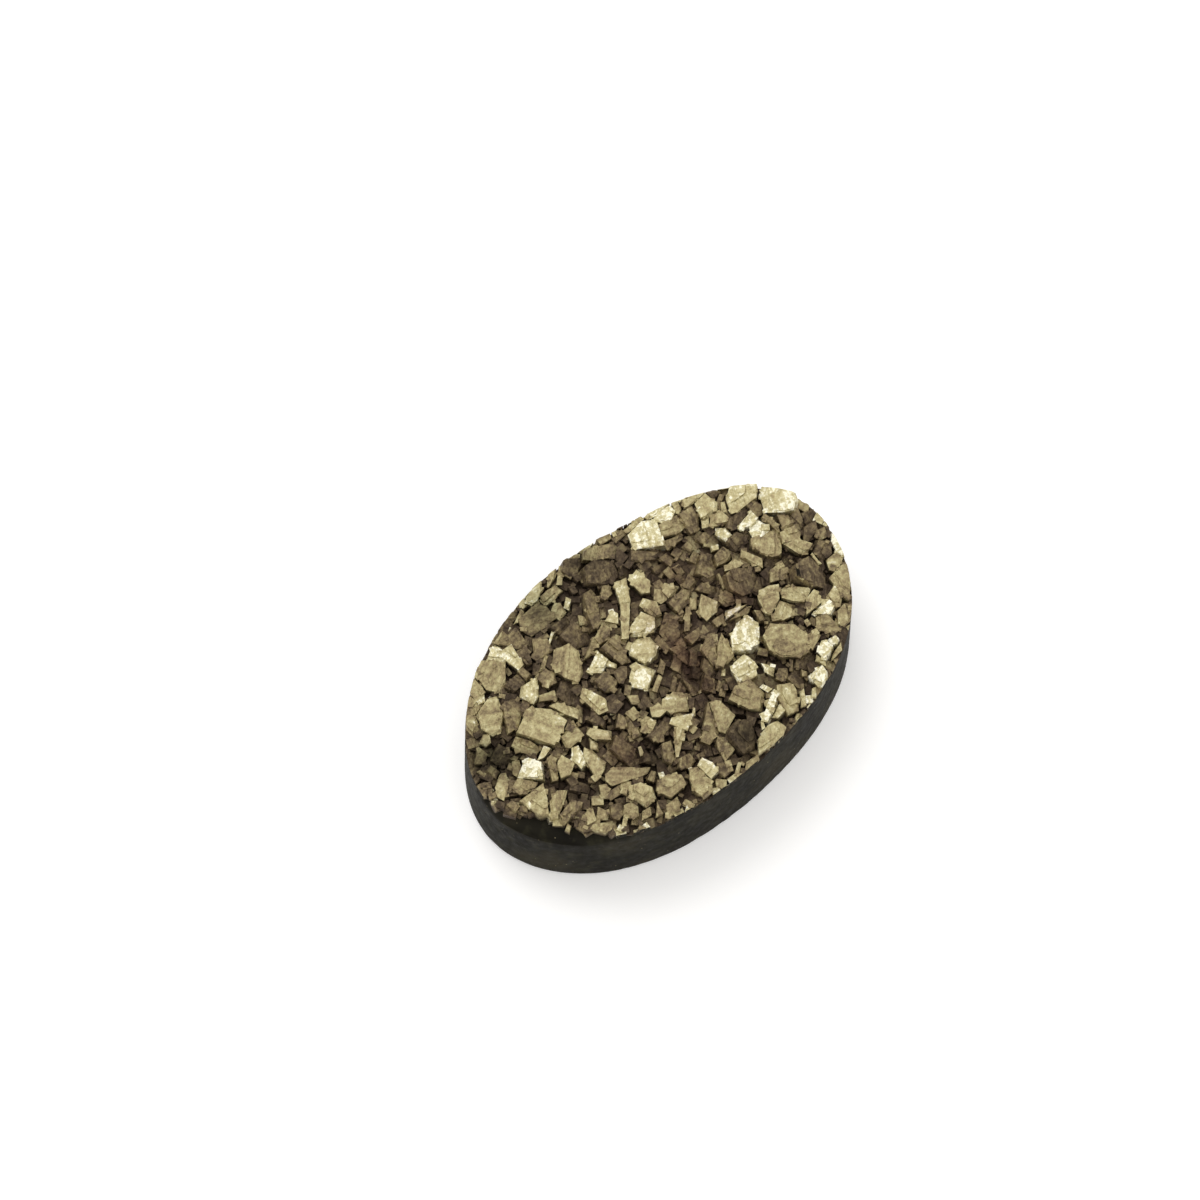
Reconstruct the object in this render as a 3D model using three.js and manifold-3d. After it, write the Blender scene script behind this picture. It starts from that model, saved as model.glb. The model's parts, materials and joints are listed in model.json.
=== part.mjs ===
// A pyrite druse cut as an oval cabochon: a dark ground slab of matrix with a crust of
// crystals grown together on top of it. Millimetres, +Z up, +X along the oval.
// The origin is at the middle of the flat back.

import * as THREE from 'three';
import { ConvexGeometry } from 'three/addons/geometries/ConvexGeometry.js';
import { mergeVertices } from 'three/addons/utils/BufferGeometryUtils.js';
import Module from 'manifold-3d';

// Driving sizes of the slab
const HALF_LENGTH = 14.0;
const HALF_WIDTH = 8.95;
const BED_HEIGHT = 5.8; // top of the matrix, where the crystals start
const BASE_BEVEL = 0.2;
const WALL_LEAN = 0.04; // how far the wall leans in for each millimetre of height
const OUTLINE_STEPS = 96;

// The oval is not a true ellipse. Each row is a wave round its edge: the number of waves
// in a turn, then the share of the radius that its cosine and its sine take.
const OUTLINE_WAVES = [
  [3, 0.0065, 0.0034],
  [4, -0.0065, 0.0106],
  [5, -0.0063, 0.0053],
];

// Driving sizes of the crust
const CRUST_FLOOR = 0.2; // thickness of pyrite between the crystals
const PLATEAU_HEIGHT = 6.68; // usual height of the crystals' top faces
const EDGE_DROP = 0.35; // how much lower they are along the wall
const EDGE_BAND = 1.6; // width of the band where they sink towards the wall
const CRYSTAL_DEPTH = 0.9; // how far a crystal's side faces run down square to its top face
const ROOT_DEPTH = 0.5; // crystals are built this far below the bed, then cut off at it
const CLEAR_ABOVE = 8.5; // height that nothing reaches

// Where the crystals stop short of the wall and leave a dark shoulder of matrix, as a
// turn round the oval from +X
const SHOULDER_TURN = 202;
const SHOULDER_HALF_TURN = 38;
const SHOULDER_WIDTH = 1.15;
const CRUST_OVERRUN = 0.1; // the crust is cut flush with the wall from this far outside it

// Hollows in the crust: x, y, radius, depth
const HOLLOWS = [
  [-5.5, -2.8, 1.5, 0.35],
  [-5.6, 2.2, 1.2, 0.4],
  [-2.6, 4.9, 1.8, 0.35],
  [-2.2, -5.8, 1.1, 0.35],
  [0.8, -2.0, 2.0, 0.45],
  [1.8, 1.0, 1.4, 0.4],
  [5.6, 3.0, 2.2, 0.45],
  [5.3, -6.0, 1.0, 0.35],
  [9.9, -0.4, 0.8, 0.5],
];

// How a top face leans if it shines at the viewer, as the slope of its normal along X and
// Y, and how that grows from the dullest face to the brightest
const GLINT_LEAN = [-0.11, 0.19];
const DULL_SHARE = -3.0;
const BRIGHT_SHARE = 1.2;
const LEAN_JITTER = 0.08;
const DULL_TURN = 0.9; // how far, in radians, the lean of a dull face turns to either side

// How far a listed face stands above the usual height: a share of the crystal's width, less
// a fixed drop, more for a bright face, and a little at random
const LIFT_BY_WIDTH = 0.12;
const LIFT_DROP = 0.1;
const LIFT_BY_SHINE = 0.15;
const LIFT_JITTER = 0.08;

// Small crystals in the gaps between the listed ones
const FILLER_TRIES = 900;
const FILLER_MAX = 60;
const FILLER_SIZE = [0.45, 0.95];
const FILLER_HEIGHT = 6.22;
const FILLER_CLEARANCE = 0.12; // least distance from a filler's middle to a listed face
const FILLER_LIFT = 0.1; // how far a filler's top stands above or below the usual height
const FILLER_SHINE = 0.5; // fillers are never brighter than this
const WALL_CLEARANCE = 0.2; // least distance from a filler's middle to the edge of the crust
const SEED = 7;
const WELD = 1e-5; // corners closer than this are one corner

// Top faces of the larger crystals. Each row is how brightly the face shines, from 0 to 1,
// then its corners: x, y, x, y and so on, clockwise or not, always convex.
const FACES = [
  // West end, north of the long axis
  [0.9, -7.75, 6.9, -7.0, 7.3, -6.6, 7.0, -6.55, 6.4, -7.1, 6.1],
  [0.88, -7.05, 6.75, -6.1, 6.55, -6.4, 5.2, -6.85, 5.15],
  [0.56, -8.9, 6.6, -8.1, 6.95, -7.1, 6.05, -8.35, 4.65, -9.0, 5.5],
  [0.6, -9.95, 5.2, -9.85, 5.95, -9.15, 6.5, -9.2, 5.7, -9.6, 5.05],
  [0.5, -10.9, 5.1, -10.2, 5.85, -9.98, 5.75, -9.75, 4.95, -10.6, 4.75],
  [0.52, -11.5, 4.4, -11.0, 5.05, -10.65, 4.65, -11.05, 4.05, -11.55, 3.85],
  [0.6, -10.9, 3.8, -10.4, 4.6, -9.5, 4.9, -8.9, 4.7, -9.3, 3.7, -10.1, 3.0, -10.7, 3.05],
  [0.38, -9.2, 3.6, -8.9, 4.05, -8.05, 3.95, -8.0, 3.35, -9.1, 2.5, -9.9, 2.5],
  [0.7, -11.55, 3.2, -11.1, 3.45, -10.85, 3.25, -11.1, 2.85, -11.45, 2.85],
  [0.36, -12.6, 2.45, -11.85, 3.0, -11.75, 2.4, -12.2, 2.15],
  [0.14, -11.8, 1.9, -10.9, 2.2, -10.6, 1.5, -11.2, 1.1, -11.6, 1.3],
  [0.5, -12.85, 1.95, -12.65, 1.9, -12.5, 1.3, -12.75, 1.15],
  [0.24, -12.35, 1.55, -12.05, 1.65, -11.9, 1.15, -12.3, 1.0],
  [0.66, -12.95, 0.0, -12.65, 0.5, -11.95, 0.95, -11.7, 0.75, -12.1, 0.15, -12.85, -0.4],
  [0.45, -11.35, 0.45, -10.95, 0.95, -10.6, 0.8, -10.8, 0.45, -11.3, 0.2],
  [1.0, -11.3, 0.05, -10.3, 0.6, -10.1, 0.5, -9.8, -0.2, -10.4, -1.0, -10.75, -0.55],
  [0.86, -9.75, 0.1, -8.95, 0.45, -8.75, 0.1, -9.3, 0.0],
  [0.62, -9.55, 2.1, -8.0, 2.8, -7.1, 1.9, -6.85, 0.8, -8.4, 0.1],
  [0.58, -6.95, 2.1, -6.45, 1.95, -5.6, 0.8, -6.1, 0.2, -6.6, 1.2],
  [0.88, -7.85, 3.8, -7.4, 4.15, -6.3, 4.05, -7.1, 3.1, -7.6, 2.95],
  [0.5, -7.15, 2.8, -6.9, 3.05, -6.1, 2.75, -6.35, 2.3],
  [0.28, -8.0, 4.9, -7.05, 4.95, -7.0, 4.3, -7.9, 4.25],
  [0.4, -6.9, 5.0, -6.5, 5.0, -6.4, 4.4, -6.85, 4.3],
  [0.42, -10.3, 1.7, -9.75, 1.95, -9.35, 1.3, -9.1, 0.6, -9.6, 0.5, -10.05, 1.1],
  [0.3, -6.5, 7.05, -5.2, 7.15, -5.3, 6.1, -5.8, 6.1],
  [0.2, -6.2, 6.0, -5.4, 6.0, -5.9, 5.0, -6.2, 5.1],
  [0.45, -6.65, 7.45, -5.85, 7.7, -5.8, 7.3, -6.5, 7.12],
  [0.66, -5.0, 7.6, -4.1, 8.0, -4.05, 7.75, -4.6, 7.55],
  [0.45, -5.5, 5.1, -4.85, 6.0, -4.2, 5.45, -4.4, 4.75, -5.2, 4.85],
  [0.45, -6.3, 3.9, -5.6, 4.1, -5.3, 3.6, -5.6, 3.1, -6.2, 3.2],
  [0.52, -5.9, 4.25, -5.0, 4.8, -4.85, 4.6, -5.6, 4.1],
  [0.15, -6.1, 2.4, -5.3, 2.9, -4.9, 2.3, -5.4, 1.4, -5.9, 1.7],
  [0.65, -5.2, 1.3, -4.65, 1.55, -4.2, 0.3, -4.55, -0.3, -5.1, -0.15],
  [0.52, -7.9, -0.4, -7.7, 0.2, -6.6, 0.45, -6.65, -0.55, -7.7, -0.6],

  // Middle, north of the long axis
  [0.48, -4.9, 6.9, -4.6, 7.5, -3.3, 7.5, -2.95, 7.1, -2.9, 6.2, -4.7, 6.3],
  [0.62, -2.8, 6.6, -2.3, 6.9, -2.08, 6.65, -2.15, 6.1, -2.75, 5.95],
  [0.78, -2.0, 6.4, -1.55, 6.75, -1.45, 6.45, -1.9, 6.1],
  [0.62, -2.85, 7.25, -2.65, 7.75, -1.5, 7.8, -1.4, 7.2, -2.7, 7.15],
  [0.85, -3.6, 8.2, -2.3, 8.7, -1.95, 8.6, -2.35, 8.1, -3.0, 7.75, -3.4, 7.75],
  [0.7, -1.9, 8.1, -1.3, 8.6, -0.7, 8.65, -0.95, 8.3, -1.8, 7.98],
  [0.6, -1.35, 7.8, -0.5, 8.55, -0.35, 8.3, -1.1, 7.6],
  [0.22, -0.55, 8.1, 0.0, 8.6, 0.9, 8.0, 0.7, 7.6, -0.4, 7.6],
  [0.62, 1.0, 8.5, 2.0, 8.65, 2.2, 8.4, 1.5, 8.25, 1.1, 8.3],
  [0.45, 0.85, 7.75, 1.3, 8.15, 2.9, 7.6, 3.0, 7.2, 2.35, 6.85, 1.25, 7.4],
  [0.18, 0.0, 6.4, 0.5, 7.2, 1.2, 7.25, 2.25, 6.6, 2.0, 5.55, 0.9, 5.8],
  [0.34, -0.1, 6.1, -0.7, 6.1, -1.3, 5.0, -1.7, 4.1, -1.1, 4.1, -0.1, 5.6],
  [0.46, 0.05, 5.3, 0.5, 5.7, 0.9, 5.6, 0.7, 5.1, 0.1, 5.05],
  [0.52, -2.0, 4.9, -1.75, 5.35, -1.5, 5.0, -1.65, 4.5],
  [0.22, -3.4, 5.0, -2.3, 5.25, -2.05, 4.4, -2.2, 3.75, -3.3, 3.9],
  [0.18, -3.6, 5.9, -2.3, 5.9, -2.1, 5.4, -3.3, 5.2],
  [0.98, -4.3, 5.3, -3.65, 5.7, -3.55, 5.55, -4.2, 5.2],
  [0.45, -1.95, 3.6, -1.1, 3.95, -0.9, 3.5, -1.4, 3.05, -2.0, 3.1],
  [0.78, -0.75, 4.0, -0.1, 4.25, 0.0, 3.85, -0.35, 3.4],
  [0.64, -0.85, 2.5, -0.5, 2.25, 1.1, 3.9, 0.6, 4.2],
  [0.68, 0.6, 4.25, 1.15, 3.95, 1.9, 5.15, 1.2, 5.4],
  [0.66, 2.0, 5.0, 2.75, 5.1, 2.85, 4.1, 2.4, 3.6, 2.0, 3.9],
  [0.58, 1.4, 3.3, 1.85, 3.5, 2.3, 2.9, 2.0, 2.1, 1.5, 2.3],
  [0.85, -0.35, 2.3, 0.0, 2.65, 1.1, 2.9, 1.4, 2.1, 1.0, 1.65, 0.3, 1.7],
  [0.88, -1.15, 1.4, -0.75, 1.95, 0.0, 1.8, 0.4, 1.4, 0.35, 0.7, -0.1, 0.35, -0.9, 0.4],
  [0.88, -3.8, 2.25, -2.55, 2.8, -2.45, 2.0, -3.2, 1.7],
  [0.86, -2.8, 1.95, -2.42, 1.98, -2.25, 1.5, -2.45, 1.25],
  [0.42, -2.2, 2.7, -1.15, 2.85, -1.2, 2.0, -1.4, 1.2, -1.95, 1.25],
  [0.6, -5.2, 3.8, -4.4, 4.55, -3.5, 4.3, -3.4, 3.6, -4.0, 2.5, -4.6, 2.25, -5.0, 3.0],
  [0.42, -3.4, 3.0, -2.1, 3.65, -2.05, 3.3, -2.6, 2.95],
  [0.3, -3.9, 1.4, -3.1, 1.5, -2.85, 0.7, -3.3, 0.3, -3.8, 0.6],
  [0.32, -2.7, 1.1, -2.2, 1.1, -1.9, 0.9, -2.3, 0.5, -2.8, 0.5],
  [0.62, 3.1, 3.1, 3.5, 3.4, 4.0, 2.75, 3.5, 2.55, 3.1, 2.6],
  [0.55, 2.4, 3.1, 2.8, 3.5, 3.05, 3.2, 2.95, 2.65, 2.5, 2.65],
  [0.38, 2.9, 2.3, 4.1, 2.45, 4.4, 2.0, 3.6, 1.6, 2.95, 1.5],
  [0.25, 1.2, 1.3, 2.2, 1.9, 2.6, 1.3, 2.0, 0.4, 1.2, 0.5],
  [0.28, 0.55, 1.0, 0.95, 1.15, 1.05, 0.2, 0.65, 0.2],
  [0.42, 2.4, 0.45, 3.4, 1.4, 3.6, 1.2, 2.7, 0.3],
  [0.62, 3.75, 0.5, 4.1, 0.85, 4.6, 1.3, 5.0, 0.4, 4.6, 0.0, 3.9, 0.0],
  [0.5, 3.5, 1.2, 4.05, 1.65, 4.25, 1.4, 3.85, 1.0],
  [0.97, 3.6, 6.3, 4.0, 7.2, 5.1, 7.25, 5.75, 6.7, 5.0, 5.2],
  [0.18, 3.0, 5.8, 3.4, 6.2, 4.7, 5.1, 4.2, 4.9, 3.3, 5.5],
  [0.4, 2.4, 8.3, 3.2, 8.1, 3.05, 7.85, 2.4, 7.9],
  [0.4, 3.15, 7.75, 3.9, 7.8, 3.9, 7.45, 3.2, 7.4],
  [0.55, 4.0, 7.65, 5.3, 7.7, 5.4, 7.4, 4.1, 7.38],

  // East end, north of the long axis
  [0.98, 5.8, 6.95, 6.4, 7.1, 7.15, 7.0, 7.1, 6.5, 6.6, 6.25, 6.15, 6.35],
  [0.76, 5.5, 7.3, 6.1, 7.65, 7.3, 7.3, 7.2, 7.12, 5.9, 7.15],
  [0.55, 5.4, 5.7, 5.75, 6.4, 6.2, 6.2, 7.05, 6.2, 7.0, 5.35, 6.4, 5.35],
  [0.38, 5.2, 5.1, 5.35, 5.4, 6.4, 5.2, 6.3, 4.9, 5.25, 4.9],
  [0.7, 7.2, 6.4, 7.4, 7.0, 7.85, 7.1, 7.6, 6.45, 7.3, 6.3],
  [0.7, 7.8, 6.3, 8.2, 6.9, 9.1, 6.75, 9.7, 6.3, 9.0, 6.25, 8.2, 6.2],
  [0.33, 7.15, 6.1, 8.1, 6.0, 8.0, 5.3, 7.4, 4.7, 6.9, 4.8, 7.15, 5.5],
  [0.8, 8.05, 5.1, 8.45, 6.0, 9.3, 6.1, 9.4, 5.2, 9.1, 4.9, 8.6, 4.9],
  [0.7, 7.7, 4.6, 8.0, 4.95, 8.5, 4.85, 8.0, 4.45],
  [0.6, 8.15, 4.35, 8.6, 4.75, 9.2, 4.7, 9.25, 3.95, 9.0, 3.8, 8.4, 4.1],
  [0.86, 8.0, 3.7, 8.25, 4.0, 8.7, 3.6, 8.6, 3.05, 8.1, 3.0],
  [0.66, 9.3, 4.6, 9.6, 4.95, 9.85, 4.9, 9.5, 4.3],
  [0.5, 9.55, 5.3, 10.0, 5.5, 10.25, 5.3, 9.8, 5.1],
  [0.2, 9.5, 6.0, 10.0, 5.95, 10.3, 5.65, 9.6, 5.5],
  [0.8, 9.65, 4.1, 10.1, 5.0, 10.8, 5.42, 12.0, 4.45, 11.35, 3.85, 10.0, 3.95],
  [0.6, 10.2, 5.85, 10.6, 6.0, 11.4, 5.45, 11.3, 5.25, 10.6, 5.6],
  [0.97, 11.25, 2.75, 11.8, 3.8, 12.3, 4.2, 12.9, 3.9, 13.4, 2.8, 13.2, 2.2, 12.5, 1.7, 12.0, 2.0],
  [0.25, 8.8, 3.5, 9.3, 3.8, 10.5, 3.8, 10.55, 3.5, 9.1, 3.15],
  [0.26, 10.7, 3.8, 11.2, 3.75, 11.4, 3.3, 11.1, 2.9, 10.7, 3.0],
  [0.98, 9.25, 3.0, 9.7, 3.2, 10.55, 3.35, 10.5, 2.75, 9.95, 2.7],
  [0.96, 9.5, 2.0, 9.9, 2.75, 10.45, 2.6, 10.65, 2.0, 10.4, 1.75, 9.9, 1.7],
  [0.58, 9.05, 1.6, 9.35, 1.95, 10.8, 1.55, 10.85, 0.9, 10.0, 0.1, 9.5, 0.35, 9.15, 0.9],
  [0.56, 10.6, 0.5, 10.95, 1.05, 11.9, 0.9, 11.85, 0.35, 11.5, 0.1],
  [0.6, 10.6, 0.35, 11.45, 0.0, 11.9, -0.7, 11.3, -0.85, 10.9, -0.6],
  [0.5, 11.3, 1.2, 11.6, 2.0, 12.05, 1.6, 11.95, 1.05, 11.6, 1.1],
  [0.5, 10.8, 2.5, 11.1, 2.6, 11.2, 1.9, 11.05, 1.25, 10.9, 1.3],
  [0.3, 12.1, 1.4, 12.7, 1.75, 12.9, 1.5, 12.6, 0.6, 12.2, 0.5],
  [0.56, 13.0, 1.7, 13.35, 2.0, 13.6, 1.4, 13.2, 1.1],
  [0.25, 11.8, -0.1, 12.3, 0.35, 13.1, 0.3, 12.8, -0.15, 12.0, -0.3],
  [0.42, 12.45, -0.4, 12.8, -0.25, 13.35, -0.3, 13.0, -0.8, 12.6, -0.75],
  [0.48, 6.75, 2.15, 7.0, 2.7, 7.75, 2.8, 7.9, 2.3, 7.6, 2.0],
  [0.72, 7.1, 3.1, 7.3, 3.4, 7.6, 3.15, 7.45, 2.95],
  [0.66, 6.8, 1.55, 7.1, 1.75, 7.85, 1.8, 7.9, 1.2, 7.5, 1.25],
  [0.6, 8.1, 1.5, 8.4, 1.8, 8.95, 0.7, 8.6, 0.25, 8.35, 0.9],
  [0.26, 6.2, 0.4, 6.6, 1.2, 7.2, 1.2, 8.15, 0.6, 8.1, -0.05, 7.4, -0.55, 6.5, -0.3],
  [0.3, 5.2, 0.35, 5.8, 0.75, 6.05, 0.2, 5.85, -0.3, 5.3, -0.1],
  [0.42, 4.4, 4.8, 4.95, 4.8, 5.1, 4.25, 4.6, 4.1],
  [0.35, 4.0, 4.0, 4.45, 4.05, 4.45, 3.3, 4.05, 3.3],
  [0.35, 4.65, 3.85, 5.05, 3.8, 5.0, 3.3, 4.65, 3.35],
  [0.38, 5.2, 4.6, 5.7, 4.8, 5.85, 4.35, 5.35, 4.2],
  [0.48, 6.0, 4.5, 6.4, 4.55, 6.65, 4.15, 6.2, 3.95],
  [0.42, 6.95, 4.25, 7.5, 4.3, 7.7, 3.95, 7.2, 3.75],
  [0.4, 5.7, 3.6, 6.3, 3.85, 6.55, 3.55, 5.95, 3.25],
  [0.3, 5.5, 2.6, 6.5, 3.3, 6.9, 2.9, 6.5, 2.1, 5.8, 2.1],
  [0.35, 4.2, 2.6, 5.1, 2.95, 5.3, 2.3, 4.5, 2.1],
  [0.3, 4.7, 1.8, 5.3, 1.9, 5.8, 1.2, 5.3, 1.0],
  [0.5, 5.95, 0.85, 6.3, 1.7, 6.45, 1.65, 6.2, 0.8],
  [0.15, 8.2, 2.8, 9.0, 2.9, 9.35, 2.4, 8.8, 2.0, 8.2, 2.1],

  // West end, south of the long axis
  [0.55, -12.0, -0.25, -11.4, -0.05, -10.7, -0.95, -11.2, -1.1, -11.9, -0.8],
  [0.6, -12.2, -1.2, -10.5, -1.25, -11.0, -2.1, -11.5, -2.8, -11.85, -2.6],
  [0.6, -11.5, -3.15, -10.9, -2.4, -10.2, -2.15, -9.7, -2.5, -10.2, -2.8, -11.2, -3.4],
  [0.42, -11.2, -3.75, -10.7, -3.35, -9.9, -3.15, -9.55, -3.65, -9.85, -3.9, -11.0, -3.95],
  [0.62, -11.3, -4.2, -11.05, -4.05, -11.0, -4.25, -11.25, -4.4],
  [0.48, -9.95, -1.45, -9.3, -0.3, -8.9, -0.25, -9.1, -0.75, -9.6, -1.6],
  [0.68, -9.45, -1.7, -9.0, -0.9, -8.5, -0.7, -8.3, -1.5, -8.9, -1.85],
  [0.92, -8.15, -1.2, -7.75, -0.75, -7.4, -0.9, -7.75, -1.85, -8.2, -2.05],
  [0.6, -7.6, -1.65, -7.2, -1.25, -6.95, -1.7, -6.9, -2.7, -7.2, -2.95, -7.95, -3.2, -7.85, -2.8],
  [0.74, -6.45, -0.65, -6.1, -0.3, -5.3, -1.4, -5.7, -1.85, -6.35, -1.1],
  [0.6, -6.85, -1.5, -6.55, -1.0, -6.4, -1.5, -6.65, -1.9],
  [0.25, -5.8, -0.2, -5.25, -0.25, -5.0, -0.8, -5.35, -1.05],
  [0.3, -6.0, -2.4, -5.25, -1.95, -4.9, -3.0, -5.3, -3.95, -5.85, -3.8],
  [0.3, -6.65, -2.3, -6.15, -2.25, -6.15, -3.0, -6.6, -3.05],
  [0.58, -7.55, -3.6, -7.3, -3.3, -6.65, -3.35, -5.1, -4.65, -5.5, -4.85, -7.5, -4.05],
  [0.45, -8.45, -4.2, -8.1, -3.6, -7.75, -3.8, -8.0, -4.6],
  [0.62, -7.15, -5.2, -6.8, -4.8, -6.2, -5.1, -5.9, -5.7, -6.1, -6.3, -6.9, -6.35],
  [0.55, -7.4, -4.7, -7.1, -4.5, -7.0, -4.8, -7.25, -5.05],
  [0.62, -10.2, -4.85, -9.65, -4.2, -9.4, -4.4, -9.65, -4.95],
  [0.55, -9.55, -5.0, -9.05, -4.55, -8.75, -5.1, -9.1, -5.35],
  [0.5, -10.2, -5.2, -9.9, -5.1, -9.0, -5.6, -9.0, -6.15, -9.7, -5.85],
  [0.3, -8.8, -5.5, -8.4, -5.0, -7.9, -5.2, -8.15, -5.7, -8.6, -5.85],
  [0.48, -8.1, -5.8, -7.8, -5.5, -7.4, -5.6, -7.3, -6.0, -7.6, -6.4, -7.95, -6.3],
  [0.72, -8.7, -6.25, -8.35, -6.0, -8.2, -6.15, -8.5, -6.4],
  [0.56, -7.6, -6.8, -7.2, -6.5, -6.75, -6.5, -7.0, -6.85],
  [0.55, -6.8, -7.15, -6.35, -6.85, -6.15, -6.5, -6.4, -7.25],
  [0.5, -6.3, -7.6, -5.9, -7.15, -5.15, -7.15, -5.3, -7.6, -5.9, -7.75],
  [0.5, -5.75, -6.1, -5.3, -5.7, -4.7, -5.85, -4.1, -6.3, -4.25, -6.9, -5.4, -6.9],
  [0.92, -5.1, -5.62, -4.95, -5.35, -4.75, -5.45, -4.85, -5.75],
  [0.12, -5.05, -4.3, -4.6, -3.95, -4.25, -4.4, -4.5, -4.95],
  [0.35, -5.65, -5.2, -5.2, -4.98, -5.05, -5.15, -5.5, -5.5],
  [0.62, -4.55, -2.65, -4.2, -2.15, -3.9, -2.4, -4.05, -2.75],
  [0.78, -4.95, -3.7, -4.72, -3.3, -4.58, -3.35, -4.75, -3.8],
  [0.4, -4.85, -1.5, -4.25, -1.05, -4.0, -1.5, -4.3, -1.95],

  // Middle, south of the long axis
  [0.88, -2.4, -0.2, -2.1, 0.35, -1.35, 0.75, -1.05, 0.25, -0.8, -0.35, -1.9, -0.95],
  [0.6, -3.8, -2.7, -3.5, -2.2, -3.05, -2.25, -2.95, -2.85, -3.6, -3.15],
  [0.62, -2.8, -2.45, -2.6, -2.05, -2.05, -2.05, -2.0, -2.7, -2.5, -2.7],
  [0.58, -1.95, -2.4, -1.6, -2.1, -0.9, -2.15, -0.3, -2.7, -0.95, -3.55, -1.85, -2.95],
  [0.82, -2.35, -3.5, -2.0, -3.35, -0.9, -3.95, -1.9, -4.45],
  [0.78, -1.0, -3.9, -0.65, -3.65, -0.6, -3.75, -0.85, -4.05],
  [0.66, -2.6, -4.1, -2.1, -3.95, -2.05, -4.4, -3.3, -5.3, -3.45, -5.2],
  [0.42, -4.1, -4.9, -3.6, -4.15, -3.05, -4.3, -3.5, -5.1, -4.0, -5.35],
  [0.25, -3.9, -3.25, -2.6, -3.15, -2.55, -3.6, -3.6, -3.85],
  [0.3, -3.75, -5.9, -3.3, -5.55, -2.75, -5.6, -2.75, -6.1, -3.3, -6.25],
  [0.64, -0.45, -5.75, 0.25, -4.15, 0.75, -4.5, 0.85, -5.65, -0.3, -6.1],
  [0.48, -1.65, -5.5, 0.15, -4.1, -0.55, -5.75, -1.4, -5.95],
  [0.5, -1.45, -7.35, -1.15, -6.35, -0.75, -6.05, -0.45, -6.5, -0.45, -7.15, -0.9, -7.25],
  [0.58, -4.1, -7.7, -3.85, -6.95, -3.4, -6.4, -3.0, -6.6, -2.98, -7.7, -3.3, -8.2, -3.95, -8.15],
  [0.9, -2.9, -6.55, -2.4, -6.4, -2.22, -7.0, -2.28, -7.55, -2.85, -7.6],
  [0.5, -2.85, -8.2, -2.65, -7.85, -2.2, -8.25, -2.6, -8.6],
  [0.3, -2.2, -7.6, -1.9, -7.25, -1.55, -7.5, -1.55, -8.05, -2.1, -8.05],
  [0.62, -1.6, -8.35, -0.95, -7.95, -0.8, -8.1, -1.4, -8.5],
  [0.56, -0.85, -8.55, -0.5, -8.3, 0.2, -8.35, 0.1, -8.6, -0.6, -8.7],
  [0.12, -0.3, -6.7, 0.1, -6.3, 0.85, -6.15, 1.3, -6.5, 0.95, -7.4, 0.4, -7.95, -0.25, -7.8],
  [0.7, 0.35, -8.4, 0.9, -7.75, 1.9, -7.5, 2.5, -7.65, 2.6, -8.25, 2.0, -8.5],
  [1.0, 1.85, -6.95, 3.1, -6.4, 3.6, -6.1, 3.65, -6.35, 3.1, -6.75, 2.05, -7.3],
  [0.96, 3.25, -5.4, 3.5, -5.4, 3.65, -5.9, 3.35, -5.85],
  [0.88, 2.5, -7.25, 3.35, -6.9, 3.25, -7.45, 2.7, -7.5],
  [0.78, 1.5, -7.4, 1.72, -7.08, 1.85, -7.12, 1.7, -7.42],
  [0.5, 1.3, -4.8, 2.1, -4.45, 3.0, -4.75, 3.15, -5.8, 2.3, -6.5, 1.8, -5.9],
  [0.9, 2.45, -4.4, 2.7, -3.45, 3.1, -3.25, 3.9, -3.25, 3.95, -4.05, 3.5, -4.7, 3.05, -4.6],
  [0.42, 2.15, -2.5, 2.3, -1.25, 3.2, -0.8, 3.6, -0.95, 3.15, -1.75],
  [0.52, 2.2, -2.65, 3.2, -1.75, 3.85, -1.3, 3.6, -2.5, 3.4, -2.8, 2.9, -2.9],
  [0.38, -0.05, -2.9, 0.25, -1.9, 0.45, -2.6, 0.3, -3.05],
  [0.28, 0.65, -3.2, 1.4, -2.5, 1.5, -3.2, 1.1, -3.7],
  [0.38, 1.15, -1.4, 1.95, -0.7, 2.05, -1.1, 1.4, -1.7],
  [0.22, -0.55, -2.2, -0.05, -1.9, -0.05, -2.35, -0.35, -2.6],
  [0.25, 0.25, -0.8, 0.95, -0.3, 0.95, -0.95, 0.45, -1.4],
  [0.36, 0.95, 0.1, 1.6, -0.05, 1.55, -0.45, 1.1, -0.5],
  [0.4, -0.55, -0.45, 0.05, -0.05, 0.05, -0.4, -0.45, -0.75],
  [0.5, -1.65, -1.15, -0.8, -0.7, -0.7, -0.95, -1.5, -1.4],
  [0.36, -0.85, -1.8, 0.0, -1.25, 0.05, -1.5, -0.6, -2.0],
  [0.35, 2.1, 0.0, 3.15, -0.05, 3.2, -0.45, 2.2, -0.55],
  [0.28, 1.5, -2.2, 2.0, -1.8, 2.05, -2.8, 1.55, -2.9],
  [0.5, -3.05, -0.5, -2.6, -0.85, -2.8, -1.35, -3.1, -1.0],
  [0.4, -3.85, -1.25, -3.25, -1.25, -3.35, -1.85, -3.8, -1.8],
  [0.24, -2.9, -1.45, -2.15, -1.05, -2.05, -1.7, -2.8, -1.85],
  [0.66, 2.12, -3.2, 2.35, -2.98, 2.48, -3.08, 2.25, -3.32],
  [0.88, 4.18, -5.0, 4.3, -4.15, 4.75, -4.9, 4.3, -5.3],
  [0.6, 3.3, -7.75, 3.55, -6.65, 4.0, -6.05, 4.75, -6.6, 4.6, -7.1, 4.0, -7.9],
  [0.7, 4.25, -7.85, 4.8, -7.15, 5.1, -7.2, 4.6, -7.95],
  [0.46, 3.15, -8.3, 3.8, -8.0, 3.9, -8.15, 3.35, -8.45],

  // East end, south of the long axis
  [0.84, 4.65, -0.8, 5.1, -0.35, 6.15, -0.9, 6.0, -0.95],
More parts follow.
